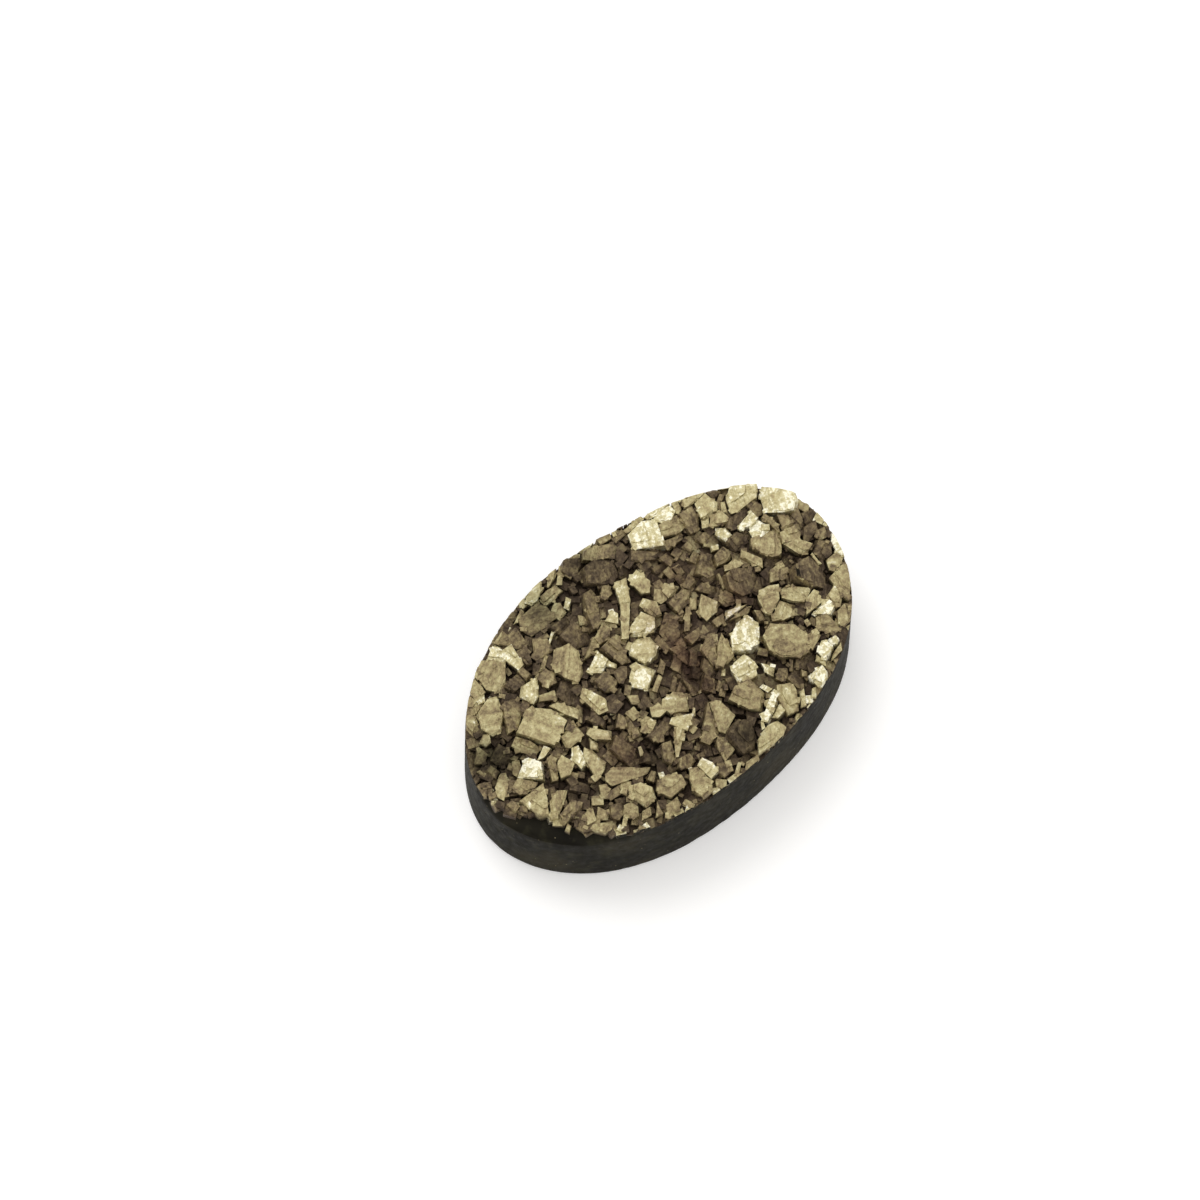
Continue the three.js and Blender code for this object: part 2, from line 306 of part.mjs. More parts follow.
  [0.45, 4.8, -1.05, 6.1, -1.05, 6.45, -1.15, 5.9, -1.35],
  [0.45, 4.0, -0.35, 4.8, -0.35, 4.55, -0.75, 4.0, -0.8],
  [0.94, 3.6, -2.6, 4.1, -1.9, 4.9, -1.45, 5.65, -1.5, 5.85, -2.3, 5.3, -2.95, 4.8, -3.3, 4.05, -3.05],
  [0.66, 6.7, -2.1, 7.0, -1.25, 7.4, -0.85, 8.0, -1.0, 8.5, -1.3, 7.9, -1.95, 6.9, -2.4],
  [0.62, 8.15, -2.1, 8.5, -1.65, 9.0, -1.75, 9.75, -2.6, 9.7, -2.8, 8.95, -3.1, 8.5, -2.6],
  [0.52, 6.8, -2.65, 7.85, -2.2, 8.4, -2.9, 7.9, -3.3, 7.2, -3.15],
  [0.5, 5.25, -4.1, 5.55, -3.25, 6.4, -2.95, 7.4, -3.9, 7.6, -4.8, 7.0, -5.7, 6.3, -5.45, 5.5, -4.75],
  [0.52, 7.4, -5.15, 7.7, -4.9, 8.15, -4.95, 8.15, -5.35, 7.25, -5.7],
  [0.42, 8.35, -5.0, 8.8, -4.45, 9.4, -4.65, 9.4, -5.8, 8.95, -5.75],
  [0.62, 8.5, -3.85, 9.2, -3.15, 9.85, -3.0, 9.9, -3.55, 9.5, -3.8],
  [0.93, 8.85, -4.1, 9.3, -3.92, 10.05, -4.0, 10.0, -4.55, 9.5, -4.75],
  [0.62, 10.15, -3.85, 11.05, -3.6, 10.75, -4.45, 10.4, -4.75, 10.12, -4.5],
  [0.25, 9.7, -1.8, 10.1, -1.2, 11.1, -1.25, 11.4, -2.0, 11.2, -2.8, 10.5, -3.2, 10.0, -2.5],
  [0.5, 8.35, -0.8, 8.9, -0.3, 9.7, -0.3, 9.6, -1.05, 9.1, -1.05],
  [0.72, 11.25, -1.85, 11.35, -1.2, 11.5, -1.2, 11.45, -1.95],
  [0.22, 11.65, -1.2, 12.3, -0.9, 12.8, -1.3, 12.4, -1.85, 11.7, -1.85],
  [0.58, 11.6, -2.6, 11.9, -2.05, 12.55, -2.05, 12.75, -2.5, 12.2, -2.75],
  [0.98, 12.7, -2.2, 12.9, -1.45, 13.35, -0.85, 13.6, -1.2, 13.4, -1.9, 13.0, -2.5],
  [0.58, 11.2, -3.05, 12.2, -2.9, 12.6, -3.1, 11.9, -4.0, 11.1, -4.8, 10.95, -4.3],
  [0.5, 9.6, -5.5, 10.1, -4.95, 10.7, -4.85, 10.4, -5.6, 9.8, -5.9],
  [1.0, 7.3, -6.55, 7.4, -6.0, 8.0, -5.7, 8.2, -5.85, 8.2, -6.35, 7.7, -6.55],
  [0.97, 8.3, -6.2, 8.45, -5.85, 8.85, -5.95, 8.85, -6.2, 8.6, -6.35],
  [0.66, 6.9, -6.4, 7.2, -6.15, 7.25, -6.7, 7.1, -6.95],
  [0.7, 7.6, -6.95, 8.1, -6.7, 8.8, -6.5, 8.5, -6.85],
  [0.94, 5.8, -7.0, 5.95, -6.75, 6.95, -6.8, 6.8, -7.3, 6.4, -7.65, 6.0, -7.75],
  [0.25, 4.9, -6.1, 5.2, -6.05, 5.6, -6.55, 5.3, -7.0, 5.0, -6.8],
  [0.5, 5.7, -6.5, 5.88, -6.25, 6.05, -6.45, 5.9, -6.65],
  [0.38, 4.4, -5.6, 4.9, -5.25, 5.3, -5.5, 5.0, -5.9, 4.55, -5.9],
  [0.42, 5.4, -5.7, 5.8, -5.25, 5.9, -5.4, 5.55, -5.85],
  [0.6, 5.15, -7.85, 5.5, -7.55, 5.7, -7.6, 5.4, -7.95],
  [0.35, 6.05, -2.3, 6.3, -1.65, 6.55, -1.9, 6.45, -2.5],
];

const wasm = await Module();
wasm.setup();

// A repeatable stream of numbers from 0 to 1
function numberStream(seed) {
  let state = seed >>> 0;
  return () => {
    state = (state + 0x6d2b79f5) >>> 0;
    let mixed = state;
    mixed = Math.imul(mixed ^ (mixed >>> 15), mixed | 1);
    mixed ^= mixed + Math.imul(mixed ^ (mixed >>> 7), mixed | 61);
    return ((mixed ^ (mixed >>> 14)) >>> 0) / 4294967296;
  };
}

// A point on the outline of the oval, drawn in from the base by inset
function ovalPoint(turn, inset) {
  let share = 1;
  for (const [waves, cosine, sine] of OUTLINE_WAVES) {
    share += cosine * Math.cos(waves * turn) + sine * Math.sin(waves * turn);
  }
  const x = (HALF_LENGTH - inset) * share * Math.cos(turn);
  const y = (HALF_WIDTH - inset) * share * Math.sin(turn);
  return new THREE.Vector2(x, y);
}

// The outline as a ring of points, with offset as its middle
function ring(insetAt, offset) {
  const points = [];
  for (let step = 0; step < OUTLINE_STEPS; step += 1) {
    const turn = (step / OUTLINE_STEPS) * 2 * Math.PI;
    points.push(ovalPoint(turn, insetAt(turn)).sub(offset));
  }
  return points;
}

const BASE_BOX = new THREE.Box2().setFromPoints(ring(() => 0, new THREE.Vector2()));
const OVAL_MIDDLE = BASE_BOX.getCenter(new THREE.Vector2());

// A closed solid through level rings, each given as its height and its inset round the oval
function ovalSolid(levels) {
  const positions = [];
  const indices = [];
  for (const [height, insetAt] of levels) {
    for (const point of ring(insetAt, OVAL_MIDDLE)) {
      positions.push(point.x, point.y, height);
    }
  }
  for (let level = 0; level + 1 < levels.length; level += 1) {
    for (let step = 0; step < OUTLINE_STEPS; step += 1) {
      const a = level * OUTLINE_STEPS + step;
      const b = level * OUTLINE_STEPS + ((step + 1) % OUTLINE_STEPS);
      indices.push(a, b, b + OUTLINE_STEPS, a, b + OUTLINE_STEPS, a + OUTLINE_STEPS);
    }
  }
  const top = (levels.length - 1) * OUTLINE_STEPS;
  for (let step = 1; step + 1 < OUTLINE_STEPS; step += 1) {
    indices.push(0, step + 1, step);
    indices.push(top, top + step, top + step + 1);
  }
  const geometry = new THREE.BufferGeometry();
  geometry.setAttribute('position', new THREE.Float32BufferAttribute(positions, 3));
  geometry.setIndex(indices);
  return geometry;
}

function wallInset(height) {
  return () => height * WALL_LEAN;
}

function shoulderInset(turn) {
  const degrees = THREE.MathUtils.radToDeg(turn);
  const away = Math.min(1, Math.abs(degrees - SHOULDER_TURN) / SHOULDER_HALF_TURN);
  const shoulder = SHOULDER_WIDTH * 0.5 * (1 + Math.cos(Math.PI * away));
  return BED_HEIGHT * WALL_LEAN - CRUST_OVERRUN + shoulder;
}

function toSolid(geometry) {
  const bare = geometry.clone();
  bare.deleteAttribute('normal');
  bare.deleteAttribute('uv');
  const merged = mergeVertices(bare, WELD);
  return new wasm.Manifold(new wasm.Mesh({
    numProp: 3,
    vertProperties: new Float32Array(merged.attributes.position.array),
    triVerts: new Uint32Array(merged.index.array),
  }));
}

// The outer skin of a solid: its connected shell with the most triangles, so that no
// sealed pocket is left between crystals
function outerSkin(solid) {
  const mesh = solid.getMesh();
  const count = mesh.vertProperties.length / mesh.numProp;
  const parent = Array.from({ length: count }, (_, index) => index);
  const find = (index) => {
    let root = index;
    while (parent[root] !== root) {
      parent[root] = parent[parent[root]];
      root = parent[root];
    }
    return root;
  };
  for (let i = 0; i < mesh.triVerts.length; i += 3) {
    parent[find(mesh.triVerts[i])] = find(mesh.triVerts[i + 1]);
    parent[find(mesh.triVerts[i + 1])] = find(mesh.triVerts[i + 2]);
  }
  const sizes = new Map();
  for (let i = 0; i < mesh.triVerts.length; i += 3) {
    const root = find(mesh.triVerts[i]);
    sizes.set(root, (sizes.get(root) ?? 0) + 1);
  }
  const widest = [...sizes.entries()].sort((a, b) => b[1] - a[1])[0][0];
  const indices = [];
  for (let i = 0; i < mesh.triVerts.length; i += 3) {
    if (find(mesh.triVerts[i]) === widest) {
      indices.push(mesh.triVerts[i], mesh.triVerts[i + 1], mesh.triVerts[i + 2]);
    }
  }
  const geometry = new THREE.BufferGeometry();
  geometry.setAttribute('position', new THREE.BufferAttribute(mesh.vertProperties, 3));
  geometry.setIndex(indices);
  return geometry;
}

function cornersOf(row) {
  const corners = [];
  for (let i = 1; i < row.length; i += 2) {
    corners.push(new THREE.Vector2(row[i], row[i + 1]));
  }
  return corners;
}

function middleOf(corners) {
  const middle = new THREE.Vector2();
  for (const corner of corners) {
    middle.add(corner);
  }
  return middle.divideScalar(corners.length);
}

// How far inside the oval a point is, as a rough distance to its edge
function depthInside(point) {
  const reach = Math.hypot(point.x / HALF_LENGTH, point.y / HALF_WIDTH);
  return (1 - reach) * HALF_WIDTH;
}

function heightAt(point) {
  const edge = THREE.MathUtils.clamp(depthInside(point) / EDGE_BAND, 0, 1);
  let height = PLATEAU_HEIGHT - EDGE_DROP * (1 - edge);
  for (const [x, y, radius, depth] of HOLLOWS) {
    const away = Math.hypot(point.x - x, point.y - y) / radius;
    height -= depth * Math.exp(-away * away);
  }
  return height;
}

function leanFor(shine, random) {
  const share = DULL_SHARE + (BRIGHT_SHARE - DULL_SHARE) * shine;
  const lean = new THREE.Vector2(GLINT_LEAN[0], GLINT_LEAN[1]).multiplyScalar(share);
  lean.rotateAround(new THREE.Vector2(), (random() * 2 - 1) * DULL_TURN * (1 - shine));
  lean.x += (random() * 2 - 1) * LEAN_JITTER;
  lean.y += (random() * 2 - 1) * LEAN_JITTER;
  return lean;
}

// One crystal: a flat top face that leans, side faces square to it, and upright roots
// that reach down into the bed
function crystal(corners, height, lean) {
  const middle = middleOf(corners);
  const normal = new THREE.Vector3(lean.x, lean.y, 1).normalize();
  const points = [];
  for (const corner of corners) {
    const fall = lean.dot(corner.clone().sub(middle));
    const upper = new THREE.Vector3(corner.x, corner.y, height - fall);
    const lower = upper.clone().addScaledVector(normal, -CRYSTAL_DEPTH);
    const root = BED_HEIGHT - ROOT_DEPTH;
    points.push(upper, lower);
    points.push(new THREE.Vector3(upper.x, upper.y, root));
    points.push(new THREE.Vector3(lower.x, lower.y, root));
  }
  return toSolid(new ConvexGeometry(points));
}

function listedCrystals(random) {
  return FACES.map((row) => {
    const corners = cornersOf(row);
    const middle = middleOf(corners);
    const area = Math.abs(THREE.ShapeUtils.area(corners));
    const steady = LIFT_BY_WIDTH * Math.sqrt(area) - LIFT_DROP + LIFT_BY_SHINE * (row[0] - 0.5);
    const lift = steady + (random() * 2 - 1) * LIFT_JITTER;
    return crystal(corners, heightAt(middle) + lift, leanFor(row[0], random));
  });
}

function distanceToFace(point, corners) {
  let nearest = Infinity;
  let inside = false;
  corners.forEach((start, index) => {
    const end = corners[(index + 1) % corners.length];
    const along = end.clone().sub(start);
    const share = THREE.MathUtils.clamp(point.clone().sub(start).dot(along) / along.lengthSq(), 0, 1);
    nearest = Math.min(nearest, start.clone().addScaledVector(along, share).distanceTo(point));
    const crosses = (start.y > point.y) !== (end.y > point.y);
    if (crosses && point.x < start.x + ((point.y - start.y) / (end.y - start.y)) * along.x) {
      inside = !inside;
    }
  });
  return inside ? -nearest : nearest;
}

function fillerCrystals(random) {
  const faces = FACES.map(cornersOf);
  const placed = [];
  const solids = [];
  for (let attempt = 0; attempt < FILLER_TRIES && solids.length < FILLER_MAX; attempt += 1) {
    const point = new THREE.Vector2((random() * 2 - 1) * HALF_LENGTH, (random() * 2 - 1) * HALF_WIDTH);
    const long = THREE.MathUtils.lerp(FILLER_SIZE[0], FILLER_SIZE[1], random());
    const wide = long * (0.5 + 0.5 * random());
    const yaw = random() * Math.PI;
    const lift = (random() * 2 - 1) * FILLER_LIFT;
    const shine = random() * FILLER_SHINE;
    const lean = leanFor(shine, random);
    const shoulder = shoulderInset(Math.atan2(point.y, point.x) + (point.y < 0 ? 2 * Math.PI : 0));
    if (depthInside(point) < WALL_CLEARANCE + shoulder) {
      continue;
    }
    if (faces.some((face) => distanceToFace(point, face) < FILLER_CLEARANCE)) {
      continue;
    }
    if (placed.some((other) => other.distanceTo(point) < FILLER_SIZE[0])) {
      continue;
    }
    placed.push(point);
    const corners = [[-1, -1], [1, -1], [1, 1], [-1, 1]].map(([u, v]) => (
      new THREE.Vector2(u * long * 0.5, v * wide * 0.5).rotateAround(new THREE.Vector2(), yaw).add(point)
    ));
    solids.push(crystal(corners, FILLER_HEIGHT + lift, lean));
  }
  return solids;
}

function pyriteCrust() {
  const floor = BED_HEIGHT + CRUST_FLOOR;
  let crust = toSolid(ovalSolid([
    [BED_HEIGHT - ROOT_DEPTH, shoulderInset],
    [floor, shoulderInset],
  ]));
  const random = numberStream(SEED);
  for (const solid of [...listedCrystals(random), ...fillerCrystals(random)]) {
    crust = crust.add(solid);
  }
  const wall = toSolid(ovalSolid([
    [BED_HEIGHT, wallInset(BED_HEIGHT)],
    [CLEAR_ABOVE, wallInset(CLEAR_ABOVE)],
  ]));
  return outerSkin(crust.intersect(wall));
}

function matrixSlab() {
  return ovalSolid([
    [0, () => BASE_BEVEL],
    [BASE_BEVEL, wallInset(0)],
    [BED_HEIGHT, wallInset(BED_HEIGHT)],
  ]);
}

function named(name, geometry, material) {
  const mesh = new THREE.Mesh(geometry, material);
  mesh.name = name;
  return mesh;
}

const matrixStone = new THREE.MeshStandardMaterial({ color: 0x37352e, roughness: 0.55, metalness: 0 });
const pyrite = new THREE.MeshStandardMaterial({ color: 0xa89b6c, roughness: 0.35, metalness: 1 });

const druse = new THREE.Group();
druse.add(named('matrix', matrixSlab(), matrixStone));
druse.add(named('pyrite_crystals', pyriteCrust(), pyrite));

export default druse;
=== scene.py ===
import json
import math
import random

import bmesh
import bpy
import numpy as np
from mathutils import Matrix, Vector, noise

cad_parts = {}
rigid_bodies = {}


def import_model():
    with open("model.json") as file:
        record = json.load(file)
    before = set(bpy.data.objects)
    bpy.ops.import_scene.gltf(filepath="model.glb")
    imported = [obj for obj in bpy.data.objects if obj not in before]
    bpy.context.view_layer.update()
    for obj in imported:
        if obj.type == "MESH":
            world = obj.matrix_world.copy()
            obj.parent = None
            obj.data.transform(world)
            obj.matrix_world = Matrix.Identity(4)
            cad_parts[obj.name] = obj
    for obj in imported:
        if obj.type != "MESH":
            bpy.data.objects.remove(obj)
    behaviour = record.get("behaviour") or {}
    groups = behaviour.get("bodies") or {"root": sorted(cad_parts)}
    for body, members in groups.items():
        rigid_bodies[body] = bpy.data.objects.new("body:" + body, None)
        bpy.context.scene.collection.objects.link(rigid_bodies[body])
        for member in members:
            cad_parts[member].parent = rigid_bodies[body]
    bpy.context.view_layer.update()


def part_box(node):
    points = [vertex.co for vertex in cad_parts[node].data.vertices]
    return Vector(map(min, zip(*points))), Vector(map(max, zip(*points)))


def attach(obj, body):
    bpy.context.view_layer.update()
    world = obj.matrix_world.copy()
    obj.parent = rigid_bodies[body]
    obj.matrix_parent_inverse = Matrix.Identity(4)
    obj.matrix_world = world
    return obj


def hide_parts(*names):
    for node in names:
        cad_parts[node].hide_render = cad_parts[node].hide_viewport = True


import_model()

MM = 0.001

# Driving sizes of the slab, as in the CAD part
HALF_LENGTH = 14.0
HALF_WIDTH = 8.95
BED_HEIGHT = 5.8
BASE_BEVEL = 0.2
WALL_LEAN = 0.04
OUTLINE_STEPS = 96
OUTLINE_WAVES = [(3, 0.0065, 0.0034), (4, -0.0065, 0.0106), (5, -0.0063, 0.0053)]

# Driving sizes of the crust, as in the CAD part
CRUST_FLOOR = 0.2
PLATEAU_HEIGHT = 6.68
EDGE_DROP = 0.35
EDGE_BAND = 1.6
CRYSTAL_DEPTH = 0.9
ROOT_DEPTH = 0.5
SHOULDER_TURN = 202
SHOULDER_HALF_TURN = 38
SHOULDER_WIDTH = 1.15
CRUST_OVERRUN = 0.1

# Shallow dips in the crust: x, y, radius, depth
HOLLOWS = [
    (-5.5, -2.8, 1.5, 0.35),
    (-5.6, 2.2, 1.2, 0.4),
    (-2.6, 4.9, 1.8, 0.35),
    (-2.2, -5.8, 1.1, 0.35),
    (0.8, -2.0, 2.0, 0.45),
    (1.8, 1.0, 1.4, 0.4),
    (5.6, 3.0, 2.2, 0.45),
    (5.3, -6.0, 1.0, 0.35),
    (9.9, -0.4, 0.8, 0.5),
]

# How crystals lean and how high they stand, as in the CAD part
GLINT_LEAN = (-0.11, 0.19)  # slope along x and y of a top face that catches the light
DULL_SHARE = -3.0  # how much of that lean the dullest faces have
BRIGHT_SHARE = 1.2  # and the brightest
DULL_TURN = 0.9  # how far dull faces can turn away from it, in radians
LEAN_JITTER = 0.08
LIFT_BY_WIDTH = 0.12  # wide crystals stand higher
LIFT_DROP = 0.1
LIFT_BY_SHINE = 0.15  # and so do bright ones
LIFT_JITTER = 0.08

# Fillers, which stand in the gaps that the listed crystals leave, as in the CAD part
FILLER_TRIES = 900
FILLER_MAX = 60
FILLER_SIZE = (0.45, 0.95)
FILLER_HEIGHT = 6.22
FILLER_CLEARANCE = 0.12
FILLER_LIFT = 0.1
FILLER_SHINE = 0.5
WALL_CLEARANCE = 0.2
SEED = 7

# Detail that only this model has
DETAIL_SEED = 23
SKIN = 0.015  # the shown slab is this much inside the CAD wall
WALL_HOLLOW = 0.035  # how deep the broad hollows of the ground wall are
WALL_HOLLOW_WAVE = 0.55  # how many noise waves in a millimetre
WALL_FINE = 0.01  # and the fine ones
WALL_FINE_WAVE = 2.3
FINE_STEPS = 288  # points round the oval
FLOOR_RINGS = 24
FLOOR_REACH = 0.95  # share of the way from the rim to the middle that the rings cover
FLOOR_DROP = 0.12  # how uneven the pyrite between the crystals is
FLOOR_WAVE = 2.0
FLOOR_RAGGED = 0.55  # how ragged its edge is where the shoulder is bare
FLOOR_RAGGED_WAVE = 9.0
CELL = 0.33  # longest edge on the crystals
GRAIN_CELL = 0.5  # and on the small ones in the gaps
REFINE_ROUNDS = 7
REFINE_ABOVE = 6.15  # edges wholly below this height stay as they are
HULL_SHAKE = 0.002  # how far corners are shaken so that no four are level
HULL_TRIES = 8
CUTTER_RINGS = 9
CUTTER_TOP_GAP = 0.005  # how far the top of the crust stays below the top of the CAD box
GROW = 0.09  # how much wider a shown crystal is than its CAD body, on each side
ROUGH = 0.024  # how deep the unevenness of a crystal face is
DIP_WAVE = 1.7
FINE_DIP_WAVE = 5.0
FINE_DIP_SHARE = 0.35
CHIP = 0.065  # how deep the chips along crystal edges are
CHIP_WAVE = 4.2
CHIP_BIAS = 0.05  # above zero, so that more than half of each edge is chipped
CHIP_SHIFT = Vector((9.0, 0.0, 0.0))  # keeps chips and dips apart
CHIP_EDGE_ANGLE = 0.5  # an edge that turns by more radians than this can be chipped
NOISE_SPAN = (0, 50)  # each body takes its noise from another place
CHIPPED_CORNER_SHARE = 0.15  # share of the upper corners that are broken off
CHIPPED_CORNER = (0.06, 0.16)  # size of such a break
CHIPPED_CORNER_ROOM = 2.5  # both edges must be this many times longer
CHIPPED_CORNER_SKEW = (0.6, 1.4)
FACET_SHARE = 0.2  # share of the upper edges that have a sloping facet
FACET_WIDTH = (0.08, 0.24)
FACET_WIDEST = 0.3  # share of the crystal's width that a facet may have
FACET_RUN = 1.3  # how far a facet reaches in for its width
FACET_SLOPE = (0.35, 1.1)  # how far it falls for its width
STEP_SHARE = 0.55  # share of the large crystals with a growth step on top
STEP_AREA = 0.5  # a crystal with a larger top face than this is large, in square mm
STEP_SIZE = (0.5, 0.8)  # share of the crystal's width
STEP_INSET = 0.06  # share of the way to the crystal's middle
STEP_RISE = (0.04, 0.1)
STEP_ROOT = 0.25
KNOB_AREA = 0.3  # a crystal with a larger top face has small ones, or knobs, along its edges
KNOB_PER_LENGTH = 0.75  # how many for each millimetre of edge
KNOB_SIZE = (0.22, 0.55)
KNOB_WIDEST = 0.6  # share of the crystal's width that a knob may have
KNOB_INSET = 0.35  # how far a knob is moved inwards, for its size
KNOB_RISE = (-0.1, 0.05)  # how far their tops are above the crystal's top face
KNOB_TILT = 0.16

# Stains on the crust: x, y, radius, strength from 0 to 1
PURPLE = [
    (-5.5, -3.0, 1.4, 0.9),
    (0.5, -3.0, 1.5, 0.9),
    (1.5, 1.0, 1.5, 0.8),
    (6.0, 0.0, 1.5, 0.8),
    (1.5, -1.0, 1.3, 0.9),
    (4.5, 3.5, 1.2, 0.6),
    (-2.5, -5.5, 1.1, 0.5),
]
DARK = [
    (-12.0, 2.4, 1.3, 0.55),
    (-11.2, 1.5, 1.0, 0.5),
    (-4.7, -4.4, 0.9, 0.4),
    (0.5, -7.0, 0.9, 0.5),
    (-3.2, 7.2, 1.3, 0.6),
    (0.8, 7.9, 1.1, 0.4),
]

# Smaller crystals in the gaps. Each row is how many, their size, how far apart they are, the
# drop of their tops below the usual height, their tilt in radians and their brightest shine.
GRAINS = [
    (400, (0.45, 0.9), 0.34, (0.08, 0.42), 0.35, 0.55),
    (380, (0.22, 0.5), 0.22, (0.05, 0.45), 0.6, 0.75),
]
RIM_GRAINS = 260  # small crystals along the edge of the crust, some of them cut by the wall
RIM_SIZE = (0.25, 0.7)
RIM_BAND = (-0.1, 0.45)  # how far inside the edge of the crust they stand
RIM_DROP = (-0.05, 0.22)  # how far their tops are below the usual height
RIM_TILT = 0.25
RIM_SHINE_POWER = 1.4  # above one, so that bright ones are rarer
GRAIN_TRIES = 9000
GRAIN_CLEARANCE = 0.02
GRAIN_RIM = -0.05  # how far inside the edge of the crust grains start, here just outside it
GRAIN_SHINE_POWER = 2  # as for the rim
GRAIN_WIDTH = (0.28, 0.5)  # half of the width, as a share of the length
GRAIN_THICKNESS = (0.3, 0.5)
GRAIN_ROOT_DEPTH = 0.2  # how far grains and knobs reach into the bed
GRAIN_TAPER = 0.3  # how much narrower their roots are

# How the smaller bodies differ from the crystal that they grew on: shares of ROUGH and CHIP,
# then how much brighter or duller they can be
STEP_LOOK = (0.7, 0.6, (-0.1, 0.1))
KNOB_LOOK = (0.5, 0.5, (-0.3, 0.12))
GRAIN_ROUGH = 0.5
GRAIN_CHIP = 0.6
# This low shine paints the floor between the crystals dark, as painted shade in the gaps
BARE_SHINE = 0.15  # shine of the floor between crystals and of the ground edge
OWN_SEED = 5

# The shown slab: height and inset of the rings of its lower edge, the lowest and highest ring of
# its wall with how many there are, and the insets of the rings on its bed
BEVEL_RINGS = [(0.0, BASE_BEVEL), (0.07, 0.35 * BASE_BEVEL), (0.17, 0.03)]
WALL_RINGS = (0.35, BED_HEIGHT - 0.75, 15)
BED_RINGS = (0.0, 0.05, 0.12, 0.22, 0.35, 0.5, 0.7, 0.9, 1.15, 1.45, 1.8)
NICK_WAVE = 1.6  # small nicks in the lower edge
NICK_FROM = 0.2
NICK_DEPTH = 0.012
SHOULDER_FALL = 0.85  # how far the bare shoulder is rounded down, for its width
SHOULDER_REACH = (0.9, 0.05)  # how far in the rounding reaches, for its width and at least
SHOULDER_LOWEST = 0.6
SHOULDER_ROUGH = 0.05
SHOULDER_WAVE = 2.2
SHARP_ANGLE = math.radians(40)  # edges of the slab that turn more are shown sharp

